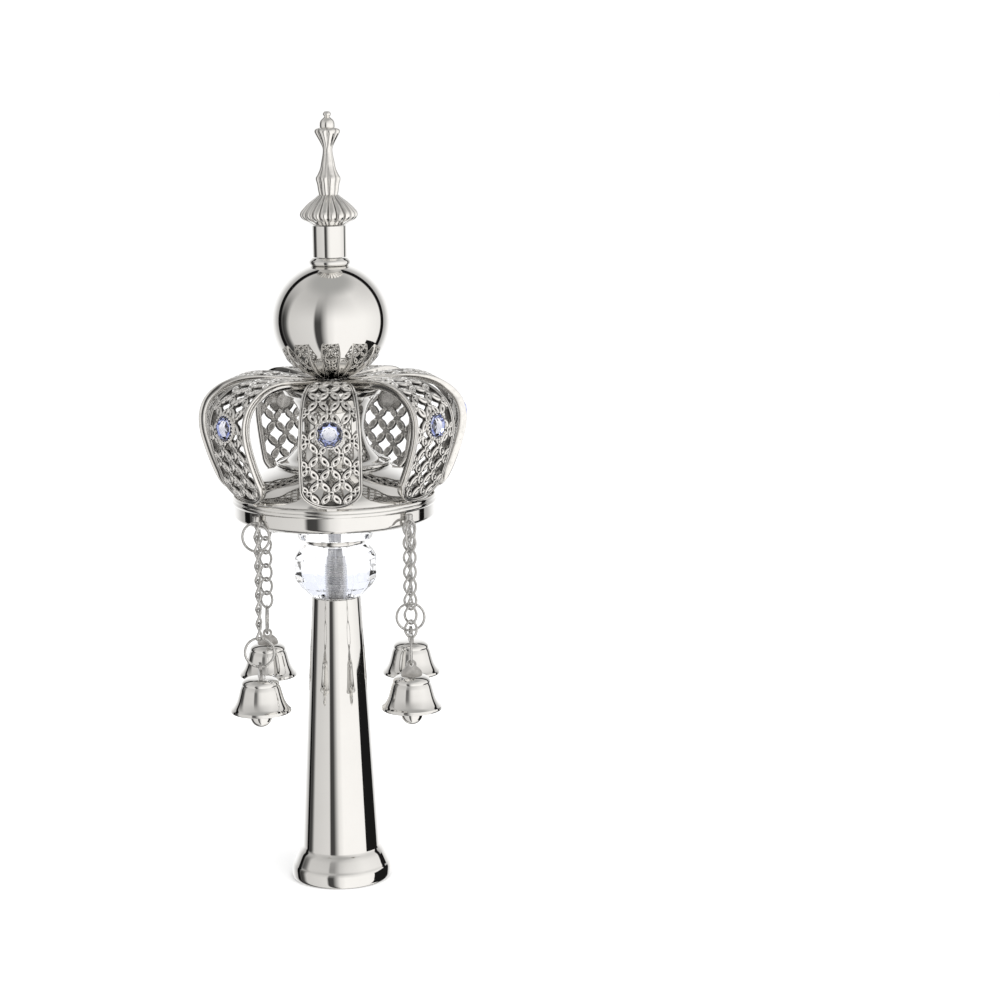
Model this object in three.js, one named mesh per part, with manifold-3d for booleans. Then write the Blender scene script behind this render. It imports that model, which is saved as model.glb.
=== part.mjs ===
// Torah finial (rimon): a crown of pierced straps with a ball on top, carried on a
// tapered sleeve that slips over the top of a scroll's stave. Small bells hang from the
// crown's band on short chains. Millimetres, +Z up, origin on the axis at the foot's
// underside, the front strap towards -Y.

import * as THREE from 'three';
import { mergeVertices } from 'three/addons/utils/BufferGeometryUtils.js';
import Module from 'manifold-3d';

const wasm = await Module();
wasm.setup();

// ---------------------------------------------------------------------------------------
// Driving dimensions: radii from the axis and heights over the foot's underside
// ---------------------------------------------------------------------------------------

const GAP = 0.3;                 // air left between two pieces that touch
const SHEET = 1.2;               // the spun pieces' wall

const rod = { radius: 5.0, bottom: 117.5, top: 275.5, sides: 10 };
const ROD_HOLE = rod.radius + 0.4;

const foot = {
  soleRadius: 20.7, radius: 21.4, ringBottom: 1.2, ringTop: 5.6, ringTopRadius: 21.0,
  flareRadius: 18.3, flareTop: 11.6, creaseRadius: 16.9, crease: 13.3,
};
const sleeve = {
  bottomRadius: 16.5, bottom: 13.9, topRadius: 10.5, top: 124.5, edge: 0.5, plate: 2.4,
  mouthRadius: 14.9, sides: 22,
};

const bead = {
  bottom: sleeve.top + GAP, endRadius: 11.4, lowerBevelRadius: 15.2, lowerBevel: 128.8,
  radius: 17.7, facetBottom: 132.6, facetTop: 141.4, upperBevelRadius: 15.9,
  upperBevel: 144.4, topRadius: 13.2, top: 147.2, facets: 14,
};

const pan = {
  bottom: bead.top + GAP, ringRadius: 12.7, ringTop: 149.4, bowlRadius: 20.3, bowl: 151.2,
  outerRadius: 41.1, outer: 158.7,
};
const band = {
  radius: 42.7, bottom: 160.2, top: 165.4, rimRadius: 43.3, rimBottom: 166.1,
  rimShoulder: 168.2, rimTop: 169.2, rimTopRadius: 42.3, lipRadius: 40.5, floor: 160.7,
  sides: 26,
};

const dome = {
  radius: 40.1, bottom: 168.2, lowerRadius: 36.3, lower: 173.5, upperRadius: 30.7,
  upper: 178.2, topRadius: 24.4, top: 181.4, wall: 1.0, edge: 1.3, sides: 20,
};

const spool = {
  bottom: dome.top + GAP, lipRadius: 24.0, lipTop: 182.5, lowerRadius: 17.7, lower: 186.3,
  waistRadius: 13.2, waistBottom: 191.9, waistTop: 199.2, upperRadius: 16.3, upper: 208.3,
  capRadius: 21.0, capBottom: 213.7, top: 214.5, sides: 18,
};

const strap = {
  count: 7, thickness: 2.4, halfWidth: 12.9, endLength: 9.8, border: 2.1, hubLength: 9.0,
  cellAcross: 11.0, cellAlong: 14.6, bar: 2.6, endSteps: 3, sideSteps: 11,
};

const jewel = {
  radius: 4.9, tableRadius: 2.9, height: 2.3, seatRadius: 6.1, seatRise: 0.9, seatDepth: 1.2,
  centre: 202.0, sides: 8,
};

const ball = { radius: 24.65, centre: 242.1, wall: 1.0, sides: 20, rows: 10, innerRows: 2 };
const collar = {
  radius: 8.7, bottom: 265.6, innerBottom: 266.6, shoulder: 267.3, topRadius: 7.5, top: 268.8,
  sides: 14,
};
const neck = { radius: 7.2, bottom: 269.1, top: 282.2, boreTop: 276.5, sides: 14 };

const disc = {
  bottom: 282.5, bottomRadius: 8.0, lower: 285.2, lowerRadius: 11.5, middle: 287.0,
  radius: 12.2, shoulder: 290.6, shoulderRadius: 9.3, top: 294.6, topRadius: 4.3, flutes: 20,
};
const vase = {
  bottom: 294.1, bottomRadius: 3.8, lower: 297.1, lowerRadius: 4.4, belly: 301.8,
  bellyRadius: 5.2, shoulder: 304.8, shoulderRadius: 3.2, waist: 312.8, waistRadius: 2.1,
  cup: 321.1, cupRadius: 5.65, rim: 322.8, rimRadius: 3.15, flutes: 8,
};
const cap = {
  radius: 3.3, top: 325.6, neckRadius: 1.2, neck: 326.8, tipRadius: 1.75, tipMiddle: 327.6,
  tipShoulder: 328.9, tipShoulderRadius: 1.2, tip: 329.3, sides: 10,
};
const FLUTE_DEPTH = 0.1;         // share of the radius taken off between two ridges

const chain = {
  count: 4, firstAngle: 45, radius: 44.6, wire: 0.95, links: 8, linkWidth: 5.4, top: 161.9,
  bottom: 113.1, upperRingRadius: 5.9, upperRingTurn: 28, upperRingLean: -9,
  upperRingSetOut: 0.7, lowerRingRadius: 6.1, lowerRingTurn: 45, ringSides: 6,
};
const lug = { width: 3.2, thickness: 1.3, bottom: 160.9, top: 165.0, setBack: 0.4 };

const bell = {
  mouth: 82.0, mouthRadius: 12.7, waist: 86.8, waistRadius: 10.1, shoulder: 93.8,
  shoulderRadius: 7.7, crown: 97.0, crownUnder: 95.4, shoulderUnder: 93.1, wall: 0.9,
  sides: 12,
};
const tab = {
  foot: 95.8, halfWidth: 4.5, side: 97.8, sideHalfWidth: 3.8, eyeRadius: 2.0, eye: 101.1,
  eyeHole: 1.0, thickness: 1.1, turn: -35,
};
const clapper = { radius: 4.6, centre: 79.9, stemRadius: 0.7, stemTop: 94.3, sides: 8, rows: 4 };

// ---------------------------------------------------------------------------------------
// Materials
// ---------------------------------------------------------------------------------------

const polishedNickel = { color: 0xdcd8d3, roughness: 0.08, metalness: 1.0 };
const castNickel = { color: 0xcfcac3, roughness: 0.22, metalness: 1.0 };
const wireNickel = { color: 0xd6d2cc, roughness: 0.14, metalness: 1.0 };
const threadedSteel = { color: 0xa8a6a2, roughness: 0.3, metalness: 1.0 };
const clearCrystal = { color: 0xf2f5fb, roughness: 0.02, metalness: 0.0 };
const paleStone = { color: 0xb9c2de, roughness: 0.03, metalness: 0.0 };

// ---------------------------------------------------------------------------------------
// Geometry helpers
// ---------------------------------------------------------------------------------------

const FULL_TURN = 2 * Math.PI;
const { degToRad, radToDeg, clamp } = THREE.MathUtils;
const model = new THREE.Group();

function add(name, geometry, finish) {
  const mesh = new THREE.Mesh(geometry, new THREE.MeshStandardMaterial(finish));
  mesh.name = name;
  model.add(mesh);
  return mesh;
}

// The same geometry as one closed surface: shared vertices merged, flat triangles dropped.
function closed(geometry) {
  const plain = geometry.clone();
  plain.deleteAttribute('normal');
  plain.deleteAttribute('uv');
  const merged = mergeVertices(plain, 1e-4);
  const old = merged.index.array;
  const kept = [];
  for (let i = 0; i < old.length; i += 3) {
    const [a, b, c] = [old[i], old[i + 1], old[i + 2]];
    if (a !== b && b !== c && c !== a) kept.push(a, b, c);
  }
  merged.setIndex(kept);
  return merged;
}

function solid(geometry) {
  const merged = closed(geometry);
  return new wasm.Manifold(new wasm.Mesh({
    numProp: 3,
    vertProperties: new Float32Array(merged.attributes.position.array),
    triVerts: new Uint32Array(merged.index.array),
  }));
}

// Several overlapping geometries joined into one.
function joined(geometries) {
  const mesh = geometries.map(solid).reduce((sum, next) => sum.add(next)).getMesh();
  const geometry = new THREE.BufferGeometry();
  geometry.setAttribute('position', new THREE.BufferAttribute(mesh.vertProperties, 3));
  geometry.setIndex(new THREE.BufferAttribute(mesh.triVerts, 1));
  return geometry;
}

function indexedGeometry(positions, index) {
  const geometry = new THREE.BufferGeometry();
  geometry.setAttribute('position', new THREE.Float32BufferAttribute(positions, 3));
  geometry.setIndex(index);
  return geometry;
}

// Twice the signed area of a closed [radius, height] outline, positive when it runs
// anticlockwise.
function turningSense(outline) {
  return outline.reduce((sum, [r, z], i) => {
    const [nextR, nextZ] = outline[(i + 1) % outline.length];
    return sum + r * nextZ - nextR * z;
  }, 0);
}

// A solid turned about +Z from [radius, height] points. A ring's outline closes on
// itself; the others start and end on the axis.
function turned(outline, sides, { ring = true } = {}) {
  const ordered = turningSense(outline) > 0 ? outline : outline.toReversed();
  const points = ordered.map(([r, z]) => new THREE.Vector2(r, z));
  if (ring) points.push(points[0].clone());
  const geometry = new THREE.LatheGeometry(points, sides);
  geometry.rotateX(Math.PI / 2);
  return closed(geometry);
}

// Points along a circular arc in the [radius, height] plane, with its angles measured
// from the outward direction.
function arc(centreR, centreZ, radius, fromDeg, toDeg, steps) {
  return Array.from({ length: steps + 1 }, (_, i) => {
    const angle = degToRad(fromDeg + (toDeg - fromDeg) * i / steps);
    return [centreR + radius * Math.cos(angle), centreZ + radius * Math.sin(angle)];
  });
}

// A solid whose [radius, height] outline swings between a ridge and a valley as it goes
// round, closed flat at both ends.
function fluted(outline, flutes) {
  const around = 2 * flutes;
  const positions = outline.flatMap(([radius, height]) => (
    Array.from({ length: around }, (_, i) => {
      const angle = FULL_TURN * i / around;
      const r = radius * (i % 2 ? 1 - FLUTE_DEPTH : 1);
      return [r * Math.cos(angle), r * Math.sin(angle), height];
    }).flat()
  ));
  const index = [];
  for (let row = 0; row < outline.length - 1; row += 1) {
    for (let i = 0; i < around; i += 1) {
      const next = (i + 1) % around;
      const [a, b] = [row * around + i, row * around + next];
      index.push(a, b, b + around, a, b + around, a + around);
    }
  }
  const lastRow = (outline.length - 1) * around;
  for (let i = 1; i < around - 1; i += 1) {
    index.push(0, i + 1, i);
    index.push(lastRow, lastRow + i, lastRow + i + 1);
  }
  return indexedGeometry(positions, index);
}

// ---------------------------------------------------------------------------------------
// Sleeve, crystal bead and rod
// ---------------------------------------------------------------------------------------

// The sleeve is spun with its foot: a flared ring, a crease and a long taper, open below.
function handleSleeve() {
  const boreTop = sleeve.top - sleeve.plate;
  return turned([
    [sleeve.mouthRadius, 0],
    [foot.soleRadius, 0],
    [foot.radius, foot.ringBottom],
    [foot.ringTopRadius, foot.ringTop],
    [foot.flareRadius, foot.flareTop],
    [foot.creaseRadius, foot.crease],
    [sleeve.bottomRadius, sleeve.bottom],
    [sleeve.topRadius, sleeve.top - sleeve.edge],
    [sleeve.topRadius - sleeve.edge, sleeve.top],
    [ROD_HOLE, sleeve.top],
    [ROD_HOLE, boreTop],
    [sleeve.topRadius - SHEET, boreTop],
  ], sleeve.sides);
}

// The bead has upright facets round its middle and bevelled ones above and below.
function crystalBead() {
  const bore = ROD_HOLE + 0.1;
  return turned([
    [bore, bead.bottom],
    [bead.endRadius, bead.bottom],
    [bead.lowerBevelRadius, bead.lowerBevel],
    [bead.radius, bead.facetBottom],
    [bead.radius, bead.facetTop],
    [bead.upperBevelRadius, bead.upperBevel],
    [bead.topRadius, bead.top],
    [bore, bead.top],
  ], bead.facets);
}

function threadedRod() {
  return turned([
    [0, rod.bottom],
    [rod.radius, rod.bottom],
    [rod.radius, rod.top],
    [0, rod.top],
  ], rod.sides, { ring: false });
}

// ---------------------------------------------------------------------------------------
// The crown's base, the dome inside it and the spool
// ---------------------------------------------------------------------------------------

// Spun as one: a foot ring, a shallow pan, an upright band and a rolled rim.
function crownBase() {
  return turned([
    [ROD_HOLE, pan.bottom],
    [pan.ringRadius, pan.bottom],
    [pan.ringRadius, pan.ringTop],
    [pan.bowlRadius, pan.bowl],
    [pan.outerRadius, pan.outer],
    [band.radius, band.bottom],
    [band.radius, band.top],
    [band.rimRadius, band.rimBottom],
    [band.rimRadius, band.rimShoulder],
    [band.rimTopRadius, band.rimTop],
    [band.lipRadius, band.rimTop],
    [band.radius - SHEET, band.floor],
    [pan.bowlRadius, pan.bowl + SHEET],
    [ROD_HOLE, pan.ringTop + SHEET],
  ], band.sides);
}

// A domed shoulder that closes the band on top and steps up to the spool's foot.
function crownDome() {
  const { radius, bottom, lowerRadius, lower, upperRadius, upper, topRadius, top, wall } = dome;
  const underRadius = (lowerRadius + upperRadius) / 2;
  const under = (lower + upper) / 2 - wall;
  return turned([
    [radius, bottom],
    [lowerRadius, lower],
    [upperRadius, upper],
    [topRadius, top],
    [ROD_HOLE, top],
    [ROD_HOLE, top - wall],
    [topRadius - wall / 2, top - wall],
    [underRadius, under],
    [radius - dome.edge, bottom],
  ], dome.sides);
}

// The spool stands on the dome. Its top plate carries the straps' inner ends.
function crownSpool() {
  return turned([
    [spool.lipRadius, spool.bottom],
    [spool.lipRadius, spool.lipTop],
    [spool.lowerRadius, spool.lower],
    [spool.waistRadius, spool.waistBottom],
    [spool.waistRadius, spool.waistTop],
    [spool.upperRadius, spool.upper],
    [spool.capRadius, spool.capBottom],
    [spool.capRadius, spool.top],
    [ROD_HOLE, spool.top],
    [ROD_HOLE, spool.top - SHEET],
    [spool.upperRadius - SHEET, spool.top - SHEET],
    [spool.waistRadius - SHEET, spool.waistTop],
    [spool.waistRadius - SHEET, spool.waistBottom],
    [spool.lowerRadius, spool.bottom],
  ], spool.sides);
}

// ---------------------------------------------------------------------------------------
// The pierced straps and their jewels
// ---------------------------------------------------------------------------------------

// A strap's outer face along its middle as [radius, height], from the tip on the rim, out
// over the bulge and in to the hub.
const strapPath = new THREE.CatmullRomCurve3([
  [43.5, 169.6],
  [45.9, 174.2],
  [49.4, 181.6],
  [52.5, 190.0],
  [54.5, 198.0],
  [54.4, 204.5],
  [52.1, 210.3],
  [47.5, 214.8],
  [41.4, 217.9],
  [34.0, 219.2],
  [26.0, 219.1],
  [18.5, 218.4],
  [11.5, 217.9],
  [6.4, 217.7],
].map(([radius, height]) => new THREE.Vector3(radius, 0, height)), false, 'centripetal');
strapPath.arcLengthDivisions = 800;
const STRAP_LENGTH = strapPath.getLength();

// How the strap narrows to the hub: [share of its length, share of its widest half-width].
const strapTaper = [
  [0, 1], [0.32, 1], [0.45, 0.955], [0.56, 0.88], [0.66, 0.76], [0.78, 0.6], [0.9, 0.36],
  [1, 0.21],
];

function strapHalfWidth(along) {
  if (along < strap.endLength) {
    const back = 1 - along / strap.endLength;
    return strap.halfWidth * Math.sqrt(1 - back * back);
  }
  const share = clamp(along / STRAP_LENGTH, 0, 1);
  const next = Math.max(1, strapTaper.findIndex(([end]) => end >= share));
  const [[start, from], [end, to]] = [strapTaper[next - 1], strapTaper[next]];
  return strap.halfWidth * (from + (to - from) * (share - start) / (end - start));
}

// Where along the strap its outer face first reaches a height.
function alongAtHeight(height) {
  let along = 0;
  while (strapPath.getPointAt(along / STRAP_LENGTH).z < height) along += 0.1;
  return along;
}
const JEWEL_ALONG = alongAtHeight(jewel.centre);

// Carries a point of the flat strap (across, along, out from its outer face) onto the
// bulge of the front strap.
function bend(across, along, out) {
  const share = clamp(along / STRAP_LENGTH, 0, 1);
  const point = strapPath.getPointAt(share);
  const tangent = strapPath.getTangentAt(share);
  return [across, -(point.x + tangent.z * out), point.z - tangent.x * out];
}

// The strap laid flat: a half-round tip, then its sides to the narrow hub end.
function strapOutline() {
  const { endLength, endSteps, sideSteps } = strap;
  const tip = Array.from({ length: endSteps + 1 }, (_, i) => endLength * (i / endSteps) ** 2);
  const sides = Array.from({ length: sideSteps }, (_, i) => (
    endLength + (STRAP_LENGTH - endLength) * (i + 1) / sideSteps
  ));
  const right = [...tip, ...sides].map((along) => [strapHalfWidth(along), along]);
  const left = right.slice(1).toReversed().map(([across, along]) => [-across, along]);
  return [...right, ...left].map(([x, y]) => new THREE.Vector2(x, y));
}

// Diamond openings between the lattice bars, in rows set half a cell apart, kept clear of
// the border, the hub end and the jewel's seat.
function strapOpenings() {
  const { cellAcross, cellAlong, bar, border, hubLength } = strap;
  const barShare = bar * Math.hypot(cellAcross, cellAlong) / (cellAcross * cellAlong);
  const halfAcross = (1 - barShare) * cellAcross / 2;
  const halfAlong = (1 - barShare) * cellAlong / 2;
  const rows = Math.ceil(STRAP_LENGTH / cellAlong);
  const openings = [];
  for (let row = -rows; row <= 2 * rows; row += 1) {
    const along = JEWEL_ALONG + row * cellAlong / 2;
    const narrowest = Math.min(...[-0.5, 0, 0.5].map((share) => (
      strapHalfWidth(Math.max(0, along + share * halfAlong))
    )));
    const onStrap = along - halfAlong > border && along + halfAlong < STRAP_LENGTH - hubLength;
    for (let column = -2; column <= 2; column += 1) {
      const across = (column + (row % 2 ? 0.5 : 0)) * cellAcross;
      const inside = Math.abs(across) + halfAcross < narrowest - border * 0.7;
      const clearOfSeat = Math.hypot(across, along - JEWEL_ALONG) > jewel.seatRadius + border / 2;
      if (onStrap && inside && clearOfSeat) {
        openings.push(new THREE.Path([
          new THREE.Vector2(across, along - halfAlong),
          new THREE.Vector2(across + halfAcross, along),
          new THREE.Vector2(across, along + halfAlong),
          new THREE.Vector2(across - halfAcross, along),
        ]));
      }
    }
  }
  return openings;
}

// Moves a piece made about +Z so that it stands on the front strap's outer face where the
// jewel sits.
function onJewelPlace(geometry) {
  const tangent = strapPath.getTangentAt(JEWEL_ALONG / STRAP_LENGTH);
  const outward = new THREE.Vector3(0, -tangent.z, -tangent.x);
  const turn = new THREE.Quaternion().setFromUnitVectors(new THREE.Vector3(0, 0, 1), outward);
  geometry.applyQuaternion(turn);
  geometry.translate(...bend(0, JEWEL_ALONG, 0));
  return geometry;
}

// The front strap, bent to its bulge, with the round seat for its jewel.
function piercedStrap() {
  const shape = new THREE.Shape(strapOutline());
  shape.holes = strapOpenings();
  const plate = closed(new THREE.ExtrudeGeometry(shape, {
    depth: strap.thickness, bevelEnabled: false,
  }));
  const position = plate.attributes.position;
  for (let i = 0; i < position.count; i += 1) {
    const out = position.getZ(i) - strap.thickness;
    position.setXYZ(i, ...bend(position.getX(i), position.getY(i), out));
  }
  const { seatRadius, seatRise, seatDepth, sides } = jewel;
  const seat = onJewelPlace(turned([
    [0, -seatDepth],
    [seatRadius, -seatDepth],
    [seatRadius, seatRise],
    [0, seatRise],
  ], sides, { ring: false }));
  return joined([plate, seat]);
}

function cutJewel() {
  const bottom = jewel.seatRise + GAP;
  return onJewelPlace(turned([
    [0, bottom],
    [jewel.radius, bottom],
    [jewel.tableRadius, bottom + jewel.height],
    [0, bottom + jewel.height],
  ], jewel.sides, { ring: false }));
}

// ---------------------------------------------------------------------------------------
// Ball, collar, neck and top knop
// ---------------------------------------------------------------------------------------

function hollowBall() {
  const { radius, centre, wall, rows, innerRows, sides } = ball;
  const inner = radius - wall;
  const outerEnd = radToDeg(Math.acos(ROD_HOLE / radius));
  const innerEnd = radToDeg(Math.acos(ROD_HOLE / inner));
  return turned([
    ...arc(0, centre, radius, -outerEnd, outerEnd, rows),
    ...arc(0, centre, inner, innerEnd, -innerEnd, innerRows),
  ], sides);
}

function ballCollar() {
  return turned([
    [ROD_HOLE, collar.innerBottom],
    [collar.radius, collar.bottom],
    [collar.radius, collar.shoulder],
    [collar.topRadius, collar.top],
    [ROD_HOLE, collar.top],
  ], collar.sides);
}

function neckTube() {
  return turned([
    [0, neck.boreTop],
    [ROD_HOLE, neck.boreTop],
    [ROD_HOLE, neck.bottom],
    [neck.radius, neck.bottom],
    [neck.radius, neck.top],
    [0, neck.top],
  ], neck.sides, { ring: false });
}

// One casting: a gadrooned disc, a fluted vase with its cup, and a small cap with a ball.
function topKnop() {
  return joined([
    fluted([
      [disc.bottomRadius, disc.bottom],
      [disc.lowerRadius, disc.lower],
      [disc.radius, disc.middle],
      [disc.shoulderRadius, disc.shoulder],
      [disc.topRadius, disc.top],
    ], disc.flutes),
    fluted([
      [vase.bottomRadius, vase.bottom],
      [vase.lowerRadius, vase.lower],
      [vase.bellyRadius, vase.belly],
      [vase.shoulderRadius, vase.shoulder],
      [vase.waistRadius, vase.waist],
      [vase.cupRadius, vase.cup],
      [vase.rimRadius, vase.rim],
    ], vase.flutes),
    turned([
      [0, vase.cup],
      [cap.radius, vase.cup],
      [cap.radius, cap.top],
      [cap.neckRadius, cap.neck],
      [cap.tipRadius, cap.tipMiddle],
      [cap.tipShoulderRadius, cap.tipShoulder],
      [0, cap.tip],
    ], cap.sides, { ring: false }),
  ]);
}

// ---------------------------------------------------------------------------------------
// Chains, bells and clappers, each made hanging on the -Y side
// ---------------------------------------------------------------------------------------

// A three-sided wire bent to an upright ring, with its top at a given height.
function wireRing(radius, top, turn) {
  const ring = new THREE.TorusGeometry(radius, chain.wire / 2, 3, chain.ringSides);
  ring.rotateZ(Math.PI / 2);
  ring.rotateX(Math.PI / 2);
  ring.rotateZ(degToRad(turn));
  ring.translate(0, 0, top - radius);
  return ring;
}

// Links hanging in a row as one body. Where two links hook into each other there is a
// small eight-sided knot, and from knot to knot run two three-sided wires bowed apart.
// Each link stands across the one before.
function linkRow() {
  const { links, linkWidth, wire, top, bottom } = chain;
  const pitch = (top - bottom) / links;
  const knotReach = wire * 0.72;
  const bow = (linkWidth - wire) / 2 / Math.SQRT2;
  const wireOut = bow + knotReach * 0.8;
  const wireIn = bow - knotReach * 0.5;
  const positions = [];
  const index = [];

  const point = (x, y, z) => positions.push(x, y, z) / 3 - 1;
  // Corners named in X, Y, Z order run anticlockwise seen from outside in every second
  // eighth of space, and clockwise in the others.
  const face = (corners, eighth) => {
    const anticlockwise = eighth[0] * eighth[1] * eighth[2] > 0;
    index.push(...(anticlockwise ? corners : [corners[1], corners[0], corners[2]]));
  };
  const knots = Array.from({ length: links + 1 }, (_, i) => {
    const z = top - i * pitch;
    return {
      x: new Map([-1, 1].map((s) => [s, point(s * knotReach, 0, z)])),
      y: new Map([-1, 1].map((s) => [s, point(0, s * knotReach, z)])),
      z: new Map([-1, 1].map((s) => [s, point(0, 0, z + s * knotReach)])),
    };
  });
  const cornersOf = (knot, [sx, sy, sz]) => [knot.x.get(sx), knot.y.get(sy), knot.z.get(sz)];

  const wireBelow = (i, sx, sy) => {
    const middle = top - (i + 0.5) * pitch;
    const rings = [
      cornersOf(knots[i], [sx, sy, -1]),
      [
        point(sx * wireOut, sy * bow, middle),
        point(sx * bow, sy * wireOut, middle),
        point(sx * wireIn, sy * wireIn, middle),
      ],
      cornersOf(knots[i + 1], [sx, sy, 1]),
    ];
    for (const [upper, lower] of [[rings[0], rings[1]], [rings[1], rings[2]]]) {
      for (let c = 0; c < 3; c += 1) {
        const next = (c + 1) % 3;
        face([upper[c], upper[next], lower[next]], [sx, sy, -1]);
        face([upper[c], lower[next], lower[c]], [sx, sy, -1]);
      }
    }
  };

  knots.forEach((knot, i) => {
    for (const [sx, sy] of [[1, 1], [1, -1], [-1, 1], [-1, -1]]) {
      const leavesHere = (sx * sy > 0) === (i % 2 === 0);
      if (leavesHere && i < links) wireBelow(i, sx, sy);
      else face(cornersOf(knot, [sx, sy, -1]), [sx, sy, -1]);
      if (leavesHere || i === 0) face(cornersOf(knot, [sx, sy, 1]), [sx, sy, 1]);
    }
  });
  return indexedGeometry(positions, index);
}

// A chain with the lug that holds it on the band, its large upper ring and the ring that
// carries the bell.
function hangingChain() {
  const upperRing = wireRing(chain.upperRingRadius, 0, chain.upperRingTurn);
  upperRing.rotateX(degToRad(chain.upperRingLean));
  upperRing.translate(0, -chain.upperRingSetOut, chain.top);
  const lowerRing = wireRing(chain.lowerRingRadius, chain.bottom, chain.lowerRingTurn);
  const lugPlate = new THREE.BoxGeometry(lug.width, lug.thickness, lug.top - lug.bottom);
  lugPlate.translate(0, lug.setBack, (lug.top + lug.bottom) / 2);
  const whole = joined([linkRow(), upperRing, lowerRing, lugPlate]);
  whole.translate(0, -chain.radius, 0);
  return whole;
}

// A spun bell, open below, with a flat tab on its crown and an eye in the tab.
function hangingBell() {
  const body = turned([
    [0, bell.crown],
    [bell.shoulderRadius, bell.shoulder],
    [bell.waistRadius, bell.waist],
    [bell.mouthRadius, bell.mouth],
    [bell.mouthRadius - bell.wall, bell.mouth],
    [bell.waistRadius - bell.wall, bell.waist],
    [bell.shoulderRadius - bell.wall, bell.shoulderUnder],
    [0, bell.crownUnder],
  ], bell.sides, { ring: false });
  const rightSide = [
    [tab.halfWidth, tab.foot],
    [tab.sideHalfWidth, tab.side],
    [tab.eyeRadius, tab.eye],
    [tab.eyeRadius * 0.7, tab.eye + tab.eyeRadius * 0.8],
  ];
  const leftSide = rightSide.toReversed().map(([x, z]) => [-x, z]);
  const shape = new THREE.Shape([...rightSide, ...leftSide].map(([x, z]) => (
    new THREE.Vector2(x, z)
  )));
  shape.holes.push(new THREE.Path([[0, -1], [-1, 0], [0, 1], [1, 0]].map(([x, z]) => (
    new THREE.Vector2(x * tab.eyeHole, tab.eye + z * tab.eyeHole)
  ))));
  const plate = new THREE.ExtrudeGeometry(shape, { depth: tab.thickness, bevelEnabled: false });
  plate.rotateX(Math.PI / 2);
  plate.translate(0, tab.thickness / 2, 0);
  plate.rotateZ(degToRad(tab.turn));
  const whole = joined([body, plate]);
  whole.translate(0, -chain.radius, 0);
  return whole;
}

function hangingClapper() {
  const { radius, centre, stemRadius, stemTop, rows, sides } = clapper;
  const stemFoot = centre + Math.sqrt(radius * radius - stemRadius * stemRadius);
  const whole = turned([
    [0, centre - radius],
    ...arc(0, centre, radius, -90, 90, rows).slice(1, -1),
    [stemRadius, stemFoot],
    [stemRadius, stemTop],
    [0, stemTop],
  ], sides, { ring: false });
  whole.translate(0, -chain.radius, 0);
  return whole;
}

// ---------------------------------------------------------------------------------------
// The whole finial
// ---------------------------------------------------------------------------------------

add('handle_sleeve', handleSleeve(), polishedNickel);
add('crystal_bead', crystalBead(), clearCrystal);
add('threaded_rod', threadedRod(), threadedSteel);
add('crown_base', crownBase(), polishedNickel);
add('crown_dome', crownDome(), polishedNickel);
add('crown_spool', crownSpool(), polishedNickel);

for (let i = 0; i < strap.count; i += 1) {
  const turn = FULL_TURN * i / strap.count;
  add(`crown_strap_${i + 1}`, piercedStrap(), castNickel).rotation.z = turn;
  add(`jewel_${i + 1}`, cutJewel(), paleStone).rotation.z = turn;
}

add('ball', hollowBall(), polishedNickel);
add('ball_collar', ballCollar(), polishedNickel);
add('neck_tube', neckTube(), polishedNickel);
add('top_knop', topKnop(), castNickel);

for (let i = 0; i < chain.count; i += 1) {
  const turn = degToRad(chain.firstAngle + 360 * i / chain.count);
  add(`chain_${i + 1}`, hangingChain(), wireNickel).rotation.z = turn;
  add(`bell_${i + 1}`, hangingBell(), polishedNickel).rotation.z = turn;
  add(`clapper_${i + 1}`, hangingClapper(), polishedNickel).rotation.z = turn;
}

export default model;
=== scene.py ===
"""Dresses the torah finial: every spun, cast, cut and linked piece in its true form and finish."""
import math

import bpy
import numpy as np
from bpy.props import FloatProperty, FloatVectorProperty, IntProperty, PointerProperty
from mathutils import Matrix, Vector


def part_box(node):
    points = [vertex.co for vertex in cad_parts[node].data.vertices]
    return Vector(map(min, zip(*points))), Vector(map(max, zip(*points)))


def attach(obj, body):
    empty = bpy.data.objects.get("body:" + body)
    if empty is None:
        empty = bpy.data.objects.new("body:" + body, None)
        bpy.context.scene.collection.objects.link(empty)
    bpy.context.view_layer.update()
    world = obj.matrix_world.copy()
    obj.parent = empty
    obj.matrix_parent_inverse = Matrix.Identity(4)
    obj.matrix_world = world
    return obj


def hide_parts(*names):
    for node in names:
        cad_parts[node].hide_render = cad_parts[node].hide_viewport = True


bl_info = {
    "name": "Torah Finial",
    "version": (1, 0, 0),
    "blender": (4, 5, 0),
    "location": "View3D > Sidebar > Finial",
    "description": "Builds a torah finial's pieces and finishes around its packed frame",
    "category": "Object",
}

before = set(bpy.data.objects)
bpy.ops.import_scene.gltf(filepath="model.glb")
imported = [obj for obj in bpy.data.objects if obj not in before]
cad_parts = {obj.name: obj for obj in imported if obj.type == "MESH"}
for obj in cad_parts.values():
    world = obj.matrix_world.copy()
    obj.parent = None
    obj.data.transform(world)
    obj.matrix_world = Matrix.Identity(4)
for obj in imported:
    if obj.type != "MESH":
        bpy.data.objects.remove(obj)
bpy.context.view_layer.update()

MM = 0.001
BODY = "root"
BORE = 5.4
WHITE = (1.0, 1.0, 1.0, 1.0)
STRAPS = sum(1 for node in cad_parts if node.startswith("crown_strap_"))
CHAINS = sum(1 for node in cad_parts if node.startswith("chain_"))


def span(node):
    """A node's lowest and highest corners in millimetres."""
    low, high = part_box(node)
    return np.array(low) / MM, np.array(high) / MM


# ---------------------------------------------------------------------------------------
# Mesh building, in millimetres until the piece is made
# ---------------------------------------------------------------------------------------

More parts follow.
